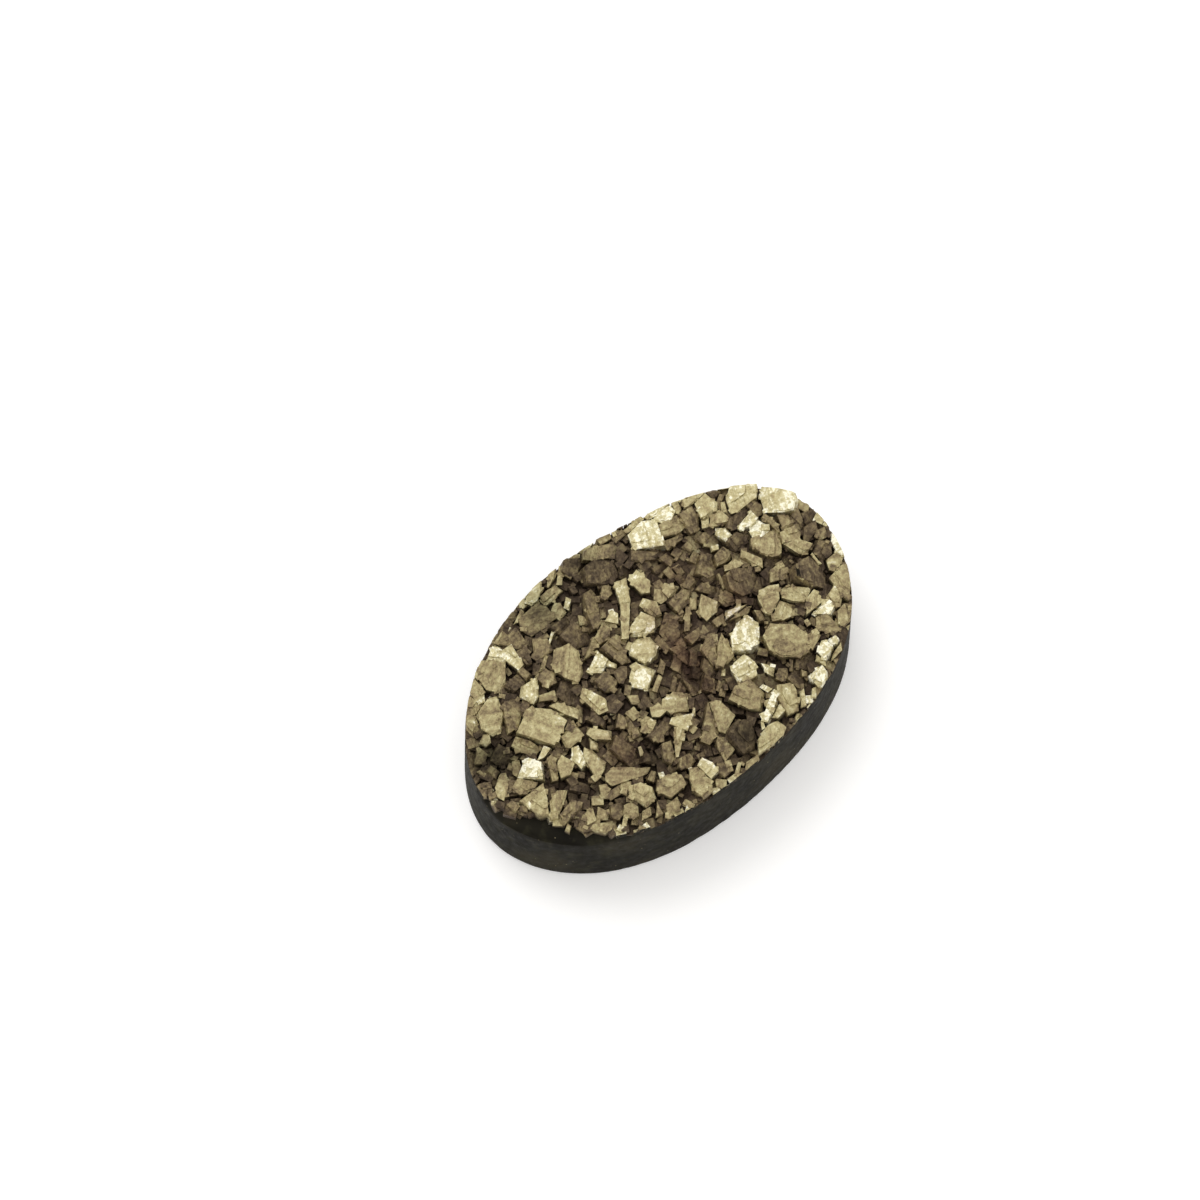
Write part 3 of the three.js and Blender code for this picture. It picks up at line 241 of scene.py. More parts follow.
# Top faces of the larger crystals, as in the CAD part. Each row is how brightly the face
# shines, from 0 to 1, then its corners: x, y, x, y and so on, always convex.
FACES = [
    # West end, north of the long axis
    [0.9, -7.75, 6.9, -7.0, 7.3, -6.6, 7.0, -6.55, 6.4, -7.1, 6.1],
    [0.88, -7.05, 6.75, -6.1, 6.55, -6.4, 5.2, -6.85, 5.15],
    [0.56, -8.9, 6.6, -8.1, 6.95, -7.1, 6.05, -8.35, 4.65, -9.0, 5.5],
    [0.6, -9.95, 5.2, -9.85, 5.95, -9.15, 6.5, -9.2, 5.7, -9.6, 5.05],
    [0.5, -10.9, 5.1, -10.2, 5.85, -9.98, 5.75, -9.75, 4.95, -10.6, 4.75],
    [0.52, -11.5, 4.4, -11.0, 5.05, -10.65, 4.65, -11.05, 4.05, -11.55, 3.85],
    [0.6, -10.9, 3.8, -10.4, 4.6, -9.5, 4.9, -8.9, 4.7, -9.3, 3.7, -10.1, 3.0, -10.7, 3.05],
    [0.38, -9.2, 3.6, -8.9, 4.05, -8.05, 3.95, -8.0, 3.35, -9.1, 2.5, -9.9, 2.5],
    [0.7, -11.55, 3.2, -11.1, 3.45, -10.85, 3.25, -11.1, 2.85, -11.45, 2.85],
    [0.36, -12.6, 2.45, -11.85, 3.0, -11.75, 2.4, -12.2, 2.15],
    [0.14, -11.8, 1.9, -10.9, 2.2, -10.6, 1.5, -11.2, 1.1, -11.6, 1.3],
    [0.5, -12.85, 1.95, -12.65, 1.9, -12.5, 1.3, -12.75, 1.15],
    [0.24, -12.35, 1.55, -12.05, 1.65, -11.9, 1.15, -12.3, 1.0],
    [0.66, -12.95, 0.0, -12.65, 0.5, -11.95, 0.95, -11.7, 0.75, -12.1, 0.15, -12.85, -0.4],
    [0.45, -11.35, 0.45, -10.95, 0.95, -10.6, 0.8, -10.8, 0.45, -11.3, 0.2],
    [1.0, -11.3, 0.05, -10.3, 0.6, -10.1, 0.5, -9.8, -0.2, -10.4, -1.0, -10.75, -0.55],
    [0.86, -9.75, 0.1, -8.95, 0.45, -8.75, 0.1, -9.3, 0.0],
    [0.62, -9.55, 2.1, -8.0, 2.8, -7.1, 1.9, -6.85, 0.8, -8.4, 0.1],
    [0.58, -6.95, 2.1, -6.45, 1.95, -5.6, 0.8, -6.1, 0.2, -6.6, 1.2],
    [0.88, -7.85, 3.8, -7.4, 4.15, -6.3, 4.05, -7.1, 3.1, -7.6, 2.95],
    [0.5, -7.15, 2.8, -6.9, 3.05, -6.1, 2.75, -6.35, 2.3],
    [0.28, -8.0, 4.9, -7.05, 4.95, -7.0, 4.3, -7.9, 4.25],
    [0.4, -6.9, 5.0, -6.5, 5.0, -6.4, 4.4, -6.85, 4.3],
    [0.42, -10.3, 1.7, -9.75, 1.95, -9.35, 1.3, -9.1, 0.6, -9.6, 0.5, -10.05, 1.1],
    [0.3, -6.5, 7.05, -5.2, 7.15, -5.3, 6.1, -5.8, 6.1],
    [0.2, -6.2, 6.0, -5.4, 6.0, -5.9, 5.0, -6.2, 5.1],
    [0.45, -6.65, 7.45, -5.85, 7.7, -5.8, 7.3, -6.5, 7.12],
    [0.66, -5.0, 7.6, -4.1, 8.0, -4.05, 7.75, -4.6, 7.55],
    [0.45, -5.5, 5.1, -4.85, 6.0, -4.2, 5.45, -4.4, 4.75, -5.2, 4.85],
    [0.45, -6.3, 3.9, -5.6, 4.1, -5.3, 3.6, -5.6, 3.1, -6.2, 3.2],
    [0.52, -5.9, 4.25, -5.0, 4.8, -4.85, 4.6, -5.6, 4.1],
    [0.15, -6.1, 2.4, -5.3, 2.9, -4.9, 2.3, -5.4, 1.4, -5.9, 1.7],
    [0.65, -5.2, 1.3, -4.65, 1.55, -4.2, 0.3, -4.55, -0.3, -5.1, -0.15],
    [0.52, -7.9, -0.4, -7.7, 0.2, -6.6, 0.45, -6.65, -0.55, -7.7, -0.6],

    # Middle, north of the long axis
    [0.48, -4.9, 6.9, -4.6, 7.5, -3.3, 7.5, -2.95, 7.1, -2.9, 6.2, -4.7, 6.3],
    [0.62, -2.8, 6.6, -2.3, 6.9, -2.08, 6.65, -2.15, 6.1, -2.75, 5.95],
    [0.78, -2.0, 6.4, -1.55, 6.75, -1.45, 6.45, -1.9, 6.1],
    [0.62, -2.85, 7.25, -2.65, 7.75, -1.5, 7.8, -1.4, 7.2, -2.7, 7.15],
    [0.85, -3.6, 8.2, -2.3, 8.7, -1.95, 8.6, -2.35, 8.1, -3.0, 7.75, -3.4, 7.75],
    [0.7, -1.9, 8.1, -1.3, 8.6, -0.7, 8.65, -0.95, 8.3, -1.8, 7.98],
    [0.6, -1.35, 7.8, -0.5, 8.55, -0.35, 8.3, -1.1, 7.6],
    [0.22, -0.55, 8.1, 0.0, 8.6, 0.9, 8.0, 0.7, 7.6, -0.4, 7.6],
    [0.62, 1.0, 8.5, 2.0, 8.65, 2.2, 8.4, 1.5, 8.25, 1.1, 8.3],
    [0.45, 0.85, 7.75, 1.3, 8.15, 2.9, 7.6, 3.0, 7.2, 2.35, 6.85, 1.25, 7.4],
    [0.18, 0.0, 6.4, 0.5, 7.2, 1.2, 7.25, 2.25, 6.6, 2.0, 5.55, 0.9, 5.8],
    [0.34, -0.1, 6.1, -0.7, 6.1, -1.3, 5.0, -1.7, 4.1, -1.1, 4.1, -0.1, 5.6],
    [0.46, 0.05, 5.3, 0.5, 5.7, 0.9, 5.6, 0.7, 5.1, 0.1, 5.05],
    [0.52, -2.0, 4.9, -1.75, 5.35, -1.5, 5.0, -1.65, 4.5],
    [0.22, -3.4, 5.0, -2.3, 5.25, -2.05, 4.4, -2.2, 3.75, -3.3, 3.9],
    [0.18, -3.6, 5.9, -2.3, 5.9, -2.1, 5.4, -3.3, 5.2],
    [0.98, -4.3, 5.3, -3.65, 5.7, -3.55, 5.55, -4.2, 5.2],
    [0.45, -1.95, 3.6, -1.1, 3.95, -0.9, 3.5, -1.4, 3.05, -2.0, 3.1],
    [0.78, -0.75, 4.0, -0.1, 4.25, 0.0, 3.85, -0.35, 3.4],
    [0.64, -0.85, 2.5, -0.5, 2.25, 1.1, 3.9, 0.6, 4.2],
    [0.68, 0.6, 4.25, 1.15, 3.95, 1.9, 5.15, 1.2, 5.4],
    [0.66, 2.0, 5.0, 2.75, 5.1, 2.85, 4.1, 2.4, 3.6, 2.0, 3.9],
    [0.58, 1.4, 3.3, 1.85, 3.5, 2.3, 2.9, 2.0, 2.1, 1.5, 2.3],
    [0.85, -0.35, 2.3, 0.0, 2.65, 1.1, 2.9, 1.4, 2.1, 1.0, 1.65, 0.3, 1.7],
    [0.88, -1.15, 1.4, -0.75, 1.95, 0.0, 1.8, 0.4, 1.4, 0.35, 0.7, -0.1, 0.35, -0.9, 0.4],
    [0.88, -3.8, 2.25, -2.55, 2.8, -2.45, 2.0, -3.2, 1.7],
    [0.86, -2.8, 1.95, -2.42, 1.98, -2.25, 1.5, -2.45, 1.25],
    [0.42, -2.2, 2.7, -1.15, 2.85, -1.2, 2.0, -1.4, 1.2, -1.95, 1.25],
    [0.6, -5.2, 3.8, -4.4, 4.55, -3.5, 4.3, -3.4, 3.6, -4.0, 2.5, -4.6, 2.25, -5.0, 3.0],
    [0.42, -3.4, 3.0, -2.1, 3.65, -2.05, 3.3, -2.6, 2.95],
    [0.3, -3.9, 1.4, -3.1, 1.5, -2.85, 0.7, -3.3, 0.3, -3.8, 0.6],
    [0.32, -2.7, 1.1, -2.2, 1.1, -1.9, 0.9, -2.3, 0.5, -2.8, 0.5],
    [0.62, 3.1, 3.1, 3.5, 3.4, 4.0, 2.75, 3.5, 2.55, 3.1, 2.6],
    [0.55, 2.4, 3.1, 2.8, 3.5, 3.05, 3.2, 2.95, 2.65, 2.5, 2.65],
    [0.38, 2.9, 2.3, 4.1, 2.45, 4.4, 2.0, 3.6, 1.6, 2.95, 1.5],
    [0.25, 1.2, 1.3, 2.2, 1.9, 2.6, 1.3, 2.0, 0.4, 1.2, 0.5],
    [0.28, 0.55, 1.0, 0.95, 1.15, 1.05, 0.2, 0.65, 0.2],
    [0.42, 2.4, 0.45, 3.4, 1.4, 3.6, 1.2, 2.7, 0.3],
    [0.62, 3.75, 0.5, 4.1, 0.85, 4.6, 1.3, 5.0, 0.4, 4.6, 0.0, 3.9, 0.0],
    [0.5, 3.5, 1.2, 4.05, 1.65, 4.25, 1.4, 3.85, 1.0],
    [0.97, 3.6, 6.3, 4.0, 7.2, 5.1, 7.25, 5.75, 6.7, 5.0, 5.2],
    [0.18, 3.0, 5.8, 3.4, 6.2, 4.7, 5.1, 4.2, 4.9, 3.3, 5.5],
    [0.4, 2.4, 8.3, 3.2, 8.1, 3.05, 7.85, 2.4, 7.9],
    [0.4, 3.15, 7.75, 3.9, 7.8, 3.9, 7.45, 3.2, 7.4],
    [0.55, 4.0, 7.65, 5.3, 7.7, 5.4, 7.4, 4.1, 7.38],

    # East end, north of the long axis
    [0.98, 5.8, 6.95, 6.4, 7.1, 7.15, 7.0, 7.1, 6.5, 6.6, 6.25, 6.15, 6.35],
    [0.76, 5.5, 7.3, 6.1, 7.65, 7.3, 7.3, 7.2, 7.12, 5.9, 7.15],
    [0.55, 5.4, 5.7, 5.75, 6.4, 6.2, 6.2, 7.05, 6.2, 7.0, 5.35, 6.4, 5.35],
    [0.38, 5.2, 5.1, 5.35, 5.4, 6.4, 5.2, 6.3, 4.9, 5.25, 4.9],
    [0.7, 7.2, 6.4, 7.4, 7.0, 7.85, 7.1, 7.6, 6.45, 7.3, 6.3],
    [0.7, 7.8, 6.3, 8.2, 6.9, 9.1, 6.75, 9.7, 6.3, 9.0, 6.25, 8.2, 6.2],
    [0.33, 7.15, 6.1, 8.1, 6.0, 8.0, 5.3, 7.4, 4.7, 6.9, 4.8, 7.15, 5.5],
    [0.8, 8.05, 5.1, 8.45, 6.0, 9.3, 6.1, 9.4, 5.2, 9.1, 4.9, 8.6, 4.9],
    [0.7, 7.7, 4.6, 8.0, 4.95, 8.5, 4.85, 8.0, 4.45],
    [0.6, 8.15, 4.35, 8.6, 4.75, 9.2, 4.7, 9.25, 3.95, 9.0, 3.8, 8.4, 4.1],
    [0.86, 8.0, 3.7, 8.25, 4.0, 8.7, 3.6, 8.6, 3.05, 8.1, 3.0],
    [0.66, 9.3, 4.6, 9.6, 4.95, 9.85, 4.9, 9.5, 4.3],
    [0.5, 9.55, 5.3, 10.0, 5.5, 10.25, 5.3, 9.8, 5.1],
    [0.2, 9.5, 6.0, 10.0, 5.95, 10.3, 5.65, 9.6, 5.5],
    [0.8, 9.65, 4.1, 10.1, 5.0, 10.8, 5.42, 12.0, 4.45, 11.35, 3.85, 10.0, 3.95],
    [0.6, 10.2, 5.85, 10.6, 6.0, 11.4, 5.45, 11.3, 5.25, 10.6, 5.6],
    [0.97, 11.25, 2.75, 11.8, 3.8, 12.3, 4.2, 12.9, 3.9, 13.4, 2.8, 13.2, 2.2, 12.5, 1.7, 12.0, 2.0],
    [0.25, 8.8, 3.5, 9.3, 3.8, 10.5, 3.8, 10.55, 3.5, 9.1, 3.15],
    [0.26, 10.7, 3.8, 11.2, 3.75, 11.4, 3.3, 11.1, 2.9, 10.7, 3.0],
    [0.98, 9.25, 3.0, 9.7, 3.2, 10.55, 3.35, 10.5, 2.75, 9.95, 2.7],
    [0.96, 9.5, 2.0, 9.9, 2.75, 10.45, 2.6, 10.65, 2.0, 10.4, 1.75, 9.9, 1.7],
    [0.58, 9.05, 1.6, 9.35, 1.95, 10.8, 1.55, 10.85, 0.9, 10.0, 0.1, 9.5, 0.35, 9.15, 0.9],
    [0.56, 10.6, 0.5, 10.95, 1.05, 11.9, 0.9, 11.85, 0.35, 11.5, 0.1],
    [0.6, 10.6, 0.35, 11.45, 0.0, 11.9, -0.7, 11.3, -0.85, 10.9, -0.6],
    [0.5, 11.3, 1.2, 11.6, 2.0, 12.05, 1.6, 11.95, 1.05, 11.6, 1.1],
    [0.5, 10.8, 2.5, 11.1, 2.6, 11.2, 1.9, 11.05, 1.25, 10.9, 1.3],
    [0.3, 12.1, 1.4, 12.7, 1.75, 12.9, 1.5, 12.6, 0.6, 12.2, 0.5],
    [0.56, 13.0, 1.7, 13.35, 2.0, 13.6, 1.4, 13.2, 1.1],
    [0.25, 11.8, -0.1, 12.3, 0.35, 13.1, 0.3, 12.8, -0.15, 12.0, -0.3],
    [0.42, 12.45, -0.4, 12.8, -0.25, 13.35, -0.3, 13.0, -0.8, 12.6, -0.75],
    [0.48, 6.75, 2.15, 7.0, 2.7, 7.75, 2.8, 7.9, 2.3, 7.6, 2.0],
    [0.72, 7.1, 3.1, 7.3, 3.4, 7.6, 3.15, 7.45, 2.95],
    [0.66, 6.8, 1.55, 7.1, 1.75, 7.85, 1.8, 7.9, 1.2, 7.5, 1.25],
    [0.6, 8.1, 1.5, 8.4, 1.8, 8.95, 0.7, 8.6, 0.25, 8.35, 0.9],
    [0.26, 6.2, 0.4, 6.6, 1.2, 7.2, 1.2, 8.15, 0.6, 8.1, -0.05, 7.4, -0.55, 6.5, -0.3],
    [0.3, 5.2, 0.35, 5.8, 0.75, 6.05, 0.2, 5.85, -0.3, 5.3, -0.1],
    [0.42, 4.4, 4.8, 4.95, 4.8, 5.1, 4.25, 4.6, 4.1],
    [0.35, 4.0, 4.0, 4.45, 4.05, 4.45, 3.3, 4.05, 3.3],
    [0.35, 4.65, 3.85, 5.05, 3.8, 5.0, 3.3, 4.65, 3.35],
    [0.38, 5.2, 4.6, 5.7, 4.8, 5.85, 4.35, 5.35, 4.2],
    [0.48, 6.0, 4.5, 6.4, 4.55, 6.65, 4.15, 6.2, 3.95],
    [0.42, 6.95, 4.25, 7.5, 4.3, 7.7, 3.95, 7.2, 3.75],
    [0.4, 5.7, 3.6, 6.3, 3.85, 6.55, 3.55, 5.95, 3.25],
    [0.3, 5.5, 2.6, 6.5, 3.3, 6.9, 2.9, 6.5, 2.1, 5.8, 2.1],
    [0.35, 4.2, 2.6, 5.1, 2.95, 5.3, 2.3, 4.5, 2.1],
    [0.3, 4.7, 1.8, 5.3, 1.9, 5.8, 1.2, 5.3, 1.0],
    [0.5, 5.95, 0.85, 6.3, 1.7, 6.45, 1.65, 6.2, 0.8],
    [0.15, 8.2, 2.8, 9.0, 2.9, 9.35, 2.4, 8.8, 2.0, 8.2, 2.1],

    # West end, south of the long axis
    [0.55, -12.0, -0.25, -11.4, -0.05, -10.7, -0.95, -11.2, -1.1, -11.9, -0.8],
    [0.6, -12.2, -1.2, -10.5, -1.25, -11.0, -2.1, -11.5, -2.8, -11.85, -2.6],
    [0.6, -11.5, -3.15, -10.9, -2.4, -10.2, -2.15, -9.7, -2.5, -10.2, -2.8, -11.2, -3.4],
    [0.42, -11.2, -3.75, -10.7, -3.35, -9.9, -3.15, -9.55, -3.65, -9.85, -3.9, -11.0, -3.95],
    [0.62, -11.3, -4.2, -11.05, -4.05, -11.0, -4.25, -11.25, -4.4],
    [0.48, -9.95, -1.45, -9.3, -0.3, -8.9, -0.25, -9.1, -0.75, -9.6, -1.6],
    [0.68, -9.45, -1.7, -9.0, -0.9, -8.5, -0.7, -8.3, -1.5, -8.9, -1.85],
    [0.92, -8.15, -1.2, -7.75, -0.75, -7.4, -0.9, -7.75, -1.85, -8.2, -2.05],
    [0.6, -7.6, -1.65, -7.2, -1.25, -6.95, -1.7, -6.9, -2.7, -7.2, -2.95, -7.95, -3.2, -7.85, -2.8],
    [0.74, -6.45, -0.65, -6.1, -0.3, -5.3, -1.4, -5.7, -1.85, -6.35, -1.1],
    [0.6, -6.85, -1.5, -6.55, -1.0, -6.4, -1.5, -6.65, -1.9],
    [0.25, -5.8, -0.2, -5.25, -0.25, -5.0, -0.8, -5.35, -1.05],
    [0.3, -6.0, -2.4, -5.25, -1.95, -4.9, -3.0, -5.3, -3.95, -5.85, -3.8],
    [0.3, -6.65, -2.3, -6.15, -2.25, -6.15, -3.0, -6.6, -3.05],
    [0.58, -7.55, -3.6, -7.3, -3.3, -6.65, -3.35, -5.1, -4.65, -5.5, -4.85, -7.5, -4.05],
    [0.45, -8.45, -4.2, -8.1, -3.6, -7.75, -3.8, -8.0, -4.6],
    [0.62, -7.15, -5.2, -6.8, -4.8, -6.2, -5.1, -5.9, -5.7, -6.1, -6.3, -6.9, -6.35],
    [0.55, -7.4, -4.7, -7.1, -4.5, -7.0, -4.8, -7.25, -5.05],
    [0.62, -10.2, -4.85, -9.65, -4.2, -9.4, -4.4, -9.65, -4.95],
    [0.55, -9.55, -5.0, -9.05, -4.55, -8.75, -5.1, -9.1, -5.35],
    [0.5, -10.2, -5.2, -9.9, -5.1, -9.0, -5.6, -9.0, -6.15, -9.7, -5.85],
    [0.3, -8.8, -5.5, -8.4, -5.0, -7.9, -5.2, -8.15, -5.7, -8.6, -5.85],
    [0.48, -8.1, -5.8, -7.8, -5.5, -7.4, -5.6, -7.3, -6.0, -7.6, -6.4, -7.95, -6.3],
    [0.72, -8.7, -6.25, -8.35, -6.0, -8.2, -6.15, -8.5, -6.4],
    [0.56, -7.6, -6.8, -7.2, -6.5, -6.75, -6.5, -7.0, -6.85],
    [0.55, -6.8, -7.15, -6.35, -6.85, -6.15, -6.5, -6.4, -7.25],
    [0.5, -6.3, -7.6, -5.9, -7.15, -5.15, -7.15, -5.3, -7.6, -5.9, -7.75],
    [0.5, -5.75, -6.1, -5.3, -5.7, -4.7, -5.85, -4.1, -6.3, -4.25, -6.9, -5.4, -6.9],
    [0.92, -5.1, -5.62, -4.95, -5.35, -4.75, -5.45, -4.85, -5.75],
    [0.12, -5.05, -4.3, -4.6, -3.95, -4.25, -4.4, -4.5, -4.95],
    [0.35, -5.65, -5.2, -5.2, -4.98, -5.05, -5.15, -5.5, -5.5],
    [0.62, -4.55, -2.65, -4.2, -2.15, -3.9, -2.4, -4.05, -2.75],
    [0.78, -4.95, -3.7, -4.72, -3.3, -4.58, -3.35, -4.75, -3.8],
    [0.4, -4.85, -1.5, -4.25, -1.05, -4.0, -1.5, -4.3, -1.95],

    # Middle, south of the long axis
    [0.88, -2.4, -0.2, -2.1, 0.35, -1.35, 0.75, -1.05, 0.25, -0.8, -0.35, -1.9, -0.95],
    [0.6, -3.8, -2.7, -3.5, -2.2, -3.05, -2.25, -2.95, -2.85, -3.6, -3.15],
    [0.62, -2.8, -2.45, -2.6, -2.05, -2.05, -2.05, -2.0, -2.7, -2.5, -2.7],
    [0.58, -1.95, -2.4, -1.6, -2.1, -0.9, -2.15, -0.3, -2.7, -0.95, -3.55, -1.85, -2.95],
    [0.82, -2.35, -3.5, -2.0, -3.35, -0.9, -3.95, -1.9, -4.45],
    [0.78, -1.0, -3.9, -0.65, -3.65, -0.6, -3.75, -0.85, -4.05],
    [0.66, -2.6, -4.1, -2.1, -3.95, -2.05, -4.4, -3.3, -5.3, -3.45, -5.2],
    [0.42, -4.1, -4.9, -3.6, -4.15, -3.05, -4.3, -3.5, -5.1, -4.0, -5.35],
    [0.25, -3.9, -3.25, -2.6, -3.15, -2.55, -3.6, -3.6, -3.85],
    [0.3, -3.75, -5.9, -3.3, -5.55, -2.75, -5.6, -2.75, -6.1, -3.3, -6.25],
    [0.64, -0.45, -5.75, 0.25, -4.15, 0.75, -4.5, 0.85, -5.65, -0.3, -6.1],
    [0.48, -1.65, -5.5, 0.15, -4.1, -0.55, -5.75, -1.4, -5.95],
    [0.5, -1.45, -7.35, -1.15, -6.35, -0.75, -6.05, -0.45, -6.5, -0.45, -7.15, -0.9, -7.25],
    [0.58, -4.1, -7.7, -3.85, -6.95, -3.4, -6.4, -3.0, -6.6, -2.98, -7.7, -3.3, -8.2, -3.95, -8.15],
    [0.9, -2.9, -6.55, -2.4, -6.4, -2.22, -7.0, -2.28, -7.55, -2.85, -7.6],
    [0.5, -2.85, -8.2, -2.65, -7.85, -2.2, -8.25, -2.6, -8.6],
    [0.3, -2.2, -7.6, -1.9, -7.25, -1.55, -7.5, -1.55, -8.05, -2.1, -8.05],
    [0.62, -1.6, -8.35, -0.95, -7.95, -0.8, -8.1, -1.4, -8.5],
    [0.56, -0.85, -8.55, -0.5, -8.3, 0.2, -8.35, 0.1, -8.6, -0.6, -8.7],
    [0.12, -0.3, -6.7, 0.1, -6.3, 0.85, -6.15, 1.3, -6.5, 0.95, -7.4, 0.4, -7.95, -0.25, -7.8],
    [0.7, 0.35, -8.4, 0.9, -7.75, 1.9, -7.5, 2.5, -7.65, 2.6, -8.25, 2.0, -8.5],
    [1.0, 1.85, -6.95, 3.1, -6.4, 3.6, -6.1, 3.65, -6.35, 3.1, -6.75, 2.05, -7.3],
    [0.96, 3.25, -5.4, 3.5, -5.4, 3.65, -5.9, 3.35, -5.85],
    [0.88, 2.5, -7.25, 3.35, -6.9, 3.25, -7.45, 2.7, -7.5],
    [0.78, 1.5, -7.4, 1.72, -7.08, 1.85, -7.12, 1.7, -7.42],
    [0.5, 1.3, -4.8, 2.1, -4.45, 3.0, -4.75, 3.15, -5.8, 2.3, -6.5, 1.8, -5.9],
    [0.9, 2.45, -4.4, 2.7, -3.45, 3.1, -3.25, 3.9, -3.25, 3.95, -4.05, 3.5, -4.7, 3.05, -4.6],
    [0.42, 2.15, -2.5, 2.3, -1.25, 3.2, -0.8, 3.6, -0.95, 3.15, -1.75],
    [0.52, 2.2, -2.65, 3.2, -1.75, 3.85, -1.3, 3.6, -2.5, 3.4, -2.8, 2.9, -2.9],
    [0.38, -0.05, -2.9, 0.25, -1.9, 0.45, -2.6, 0.3, -3.05],
    [0.28, 0.65, -3.2, 1.4, -2.5, 1.5, -3.2, 1.1, -3.7],
    [0.38, 1.15, -1.4, 1.95, -0.7, 2.05, -1.1, 1.4, -1.7],
    [0.22, -0.55, -2.2, -0.05, -1.9, -0.05, -2.35, -0.35, -2.6],
    [0.25, 0.25, -0.8, 0.95, -0.3, 0.95, -0.95, 0.45, -1.4],
    [0.36, 0.95, 0.1, 1.6, -0.05, 1.55, -0.45, 1.1, -0.5],
    [0.4, -0.55, -0.45, 0.05, -0.05, 0.05, -0.4, -0.45, -0.75],
    [0.5, -1.65, -1.15, -0.8, -0.7, -0.7, -0.95, -1.5, -1.4],
    [0.36, -0.85, -1.8, 0.0, -1.25, 0.05, -1.5, -0.6, -2.0],
    [0.35, 2.1, 0.0, 3.15, -0.05, 3.2, -0.45, 2.2, -0.55],
    [0.28, 1.5, -2.2, 2.0, -1.8, 2.05, -2.8, 1.55, -2.9],
    [0.5, -3.05, -0.5, -2.6, -0.85, -2.8, -1.35, -3.1, -1.0],
    [0.4, -3.85, -1.25, -3.25, -1.25, -3.35, -1.85, -3.8, -1.8],
    [0.24, -2.9, -1.45, -2.15, -1.05, -2.05, -1.7, -2.8, -1.85],
    [0.66, 2.12, -3.2, 2.35, -2.98, 2.48, -3.08, 2.25, -3.32],
    [0.88, 4.18, -5.0, 4.3, -4.15, 4.75, -4.9, 4.3, -5.3],
    [0.6, 3.3, -7.75, 3.55, -6.65, 4.0, -6.05, 4.75, -6.6, 4.6, -7.1, 4.0, -7.9],
    [0.7, 4.25, -7.85, 4.8, -7.15, 5.1, -7.2, 4.6, -7.95],
    [0.46, 3.15, -8.3, 3.8, -8.0, 3.9, -8.15, 3.35, -8.45],

    # East end, south of the long axis
    [0.84, 4.65, -0.8, 5.1, -0.35, 6.15, -0.9, 6.0, -0.95],
    [0.45, 4.8, -1.05, 6.1, -1.05, 6.45, -1.15, 5.9, -1.35],
    [0.45, 4.0, -0.35, 4.8, -0.35, 4.55, -0.75, 4.0, -0.8],
    [0.94, 3.6, -2.6, 4.1, -1.9, 4.9, -1.45, 5.65, -1.5, 5.85, -2.3, 5.3, -2.95, 4.8, -3.3, 4.05, -3.05],
    [0.66, 6.7, -2.1, 7.0, -1.25, 7.4, -0.85, 8.0, -1.0, 8.5, -1.3, 7.9, -1.95, 6.9, -2.4],
    [0.62, 8.15, -2.1, 8.5, -1.65, 9.0, -1.75, 9.75, -2.6, 9.7, -2.8, 8.95, -3.1, 8.5, -2.6],
    [0.52, 6.8, -2.65, 7.85, -2.2, 8.4, -2.9, 7.9, -3.3, 7.2, -3.15],
    [0.5, 5.25, -4.1, 5.55, -3.25, 6.4, -2.95, 7.4, -3.9, 7.6, -4.8, 7.0, -5.7, 6.3, -5.45, 5.5, -4.75],
    [0.52, 7.4, -5.15, 7.7, -4.9, 8.15, -4.95, 8.15, -5.35, 7.25, -5.7],
    [0.42, 8.35, -5.0, 8.8, -4.45, 9.4, -4.65, 9.4, -5.8, 8.95, -5.75],
    [0.62, 8.5, -3.85, 9.2, -3.15, 9.85, -3.0, 9.9, -3.55, 9.5, -3.8],
    [0.93, 8.85, -4.1, 9.3, -3.92, 10.05, -4.0, 10.0, -4.55, 9.5, -4.75],
    [0.62, 10.15, -3.85, 11.05, -3.6, 10.75, -4.45, 10.4, -4.75, 10.12, -4.5],
    [0.25, 9.7, -1.8, 10.1, -1.2, 11.1, -1.25, 11.4, -2.0, 11.2, -2.8, 10.5, -3.2, 10.0, -2.5],
    [0.5, 8.35, -0.8, 8.9, -0.3, 9.7, -0.3, 9.6, -1.05, 9.1, -1.05],
    [0.72, 11.25, -1.85, 11.35, -1.2, 11.5, -1.2, 11.45, -1.95],
    [0.22, 11.65, -1.2, 12.3, -0.9, 12.8, -1.3, 12.4, -1.85, 11.7, -1.85],
    [0.58, 11.6, -2.6, 11.9, -2.05, 12.55, -2.05, 12.75, -2.5, 12.2, -2.75],
    [0.98, 12.7, -2.2, 12.9, -1.45, 13.35, -0.85, 13.6, -1.2, 13.4, -1.9, 13.0, -2.5],
    [0.58, 11.2, -3.05, 12.2, -2.9, 12.6, -3.1, 11.9, -4.0, 11.1, -4.8, 10.95, -4.3],
    [0.5, 9.6, -5.5, 10.1, -4.95, 10.7, -4.85, 10.4, -5.6, 9.8, -5.9],
    [1.0, 7.3, -6.55, 7.4, -6.0, 8.0, -5.7, 8.2, -5.85, 8.2, -6.35, 7.7, -6.55],
    [0.97, 8.3, -6.2, 8.45, -5.85, 8.85, -5.95, 8.85, -6.2, 8.6, -6.35],
    [0.66, 6.9, -6.4, 7.2, -6.15, 7.25, -6.7, 7.1, -6.95],
    [0.7, 7.6, -6.95, 8.1, -6.7, 8.8, -6.5, 8.5, -6.85],
    [0.94, 5.8, -7.0, 5.95, -6.75, 6.95, -6.8, 6.8, -7.3, 6.4, -7.65, 6.0, -7.75],
    [0.25, 4.9, -6.1, 5.2, -6.05, 5.6, -6.55, 5.3, -7.0, 5.0, -6.8],
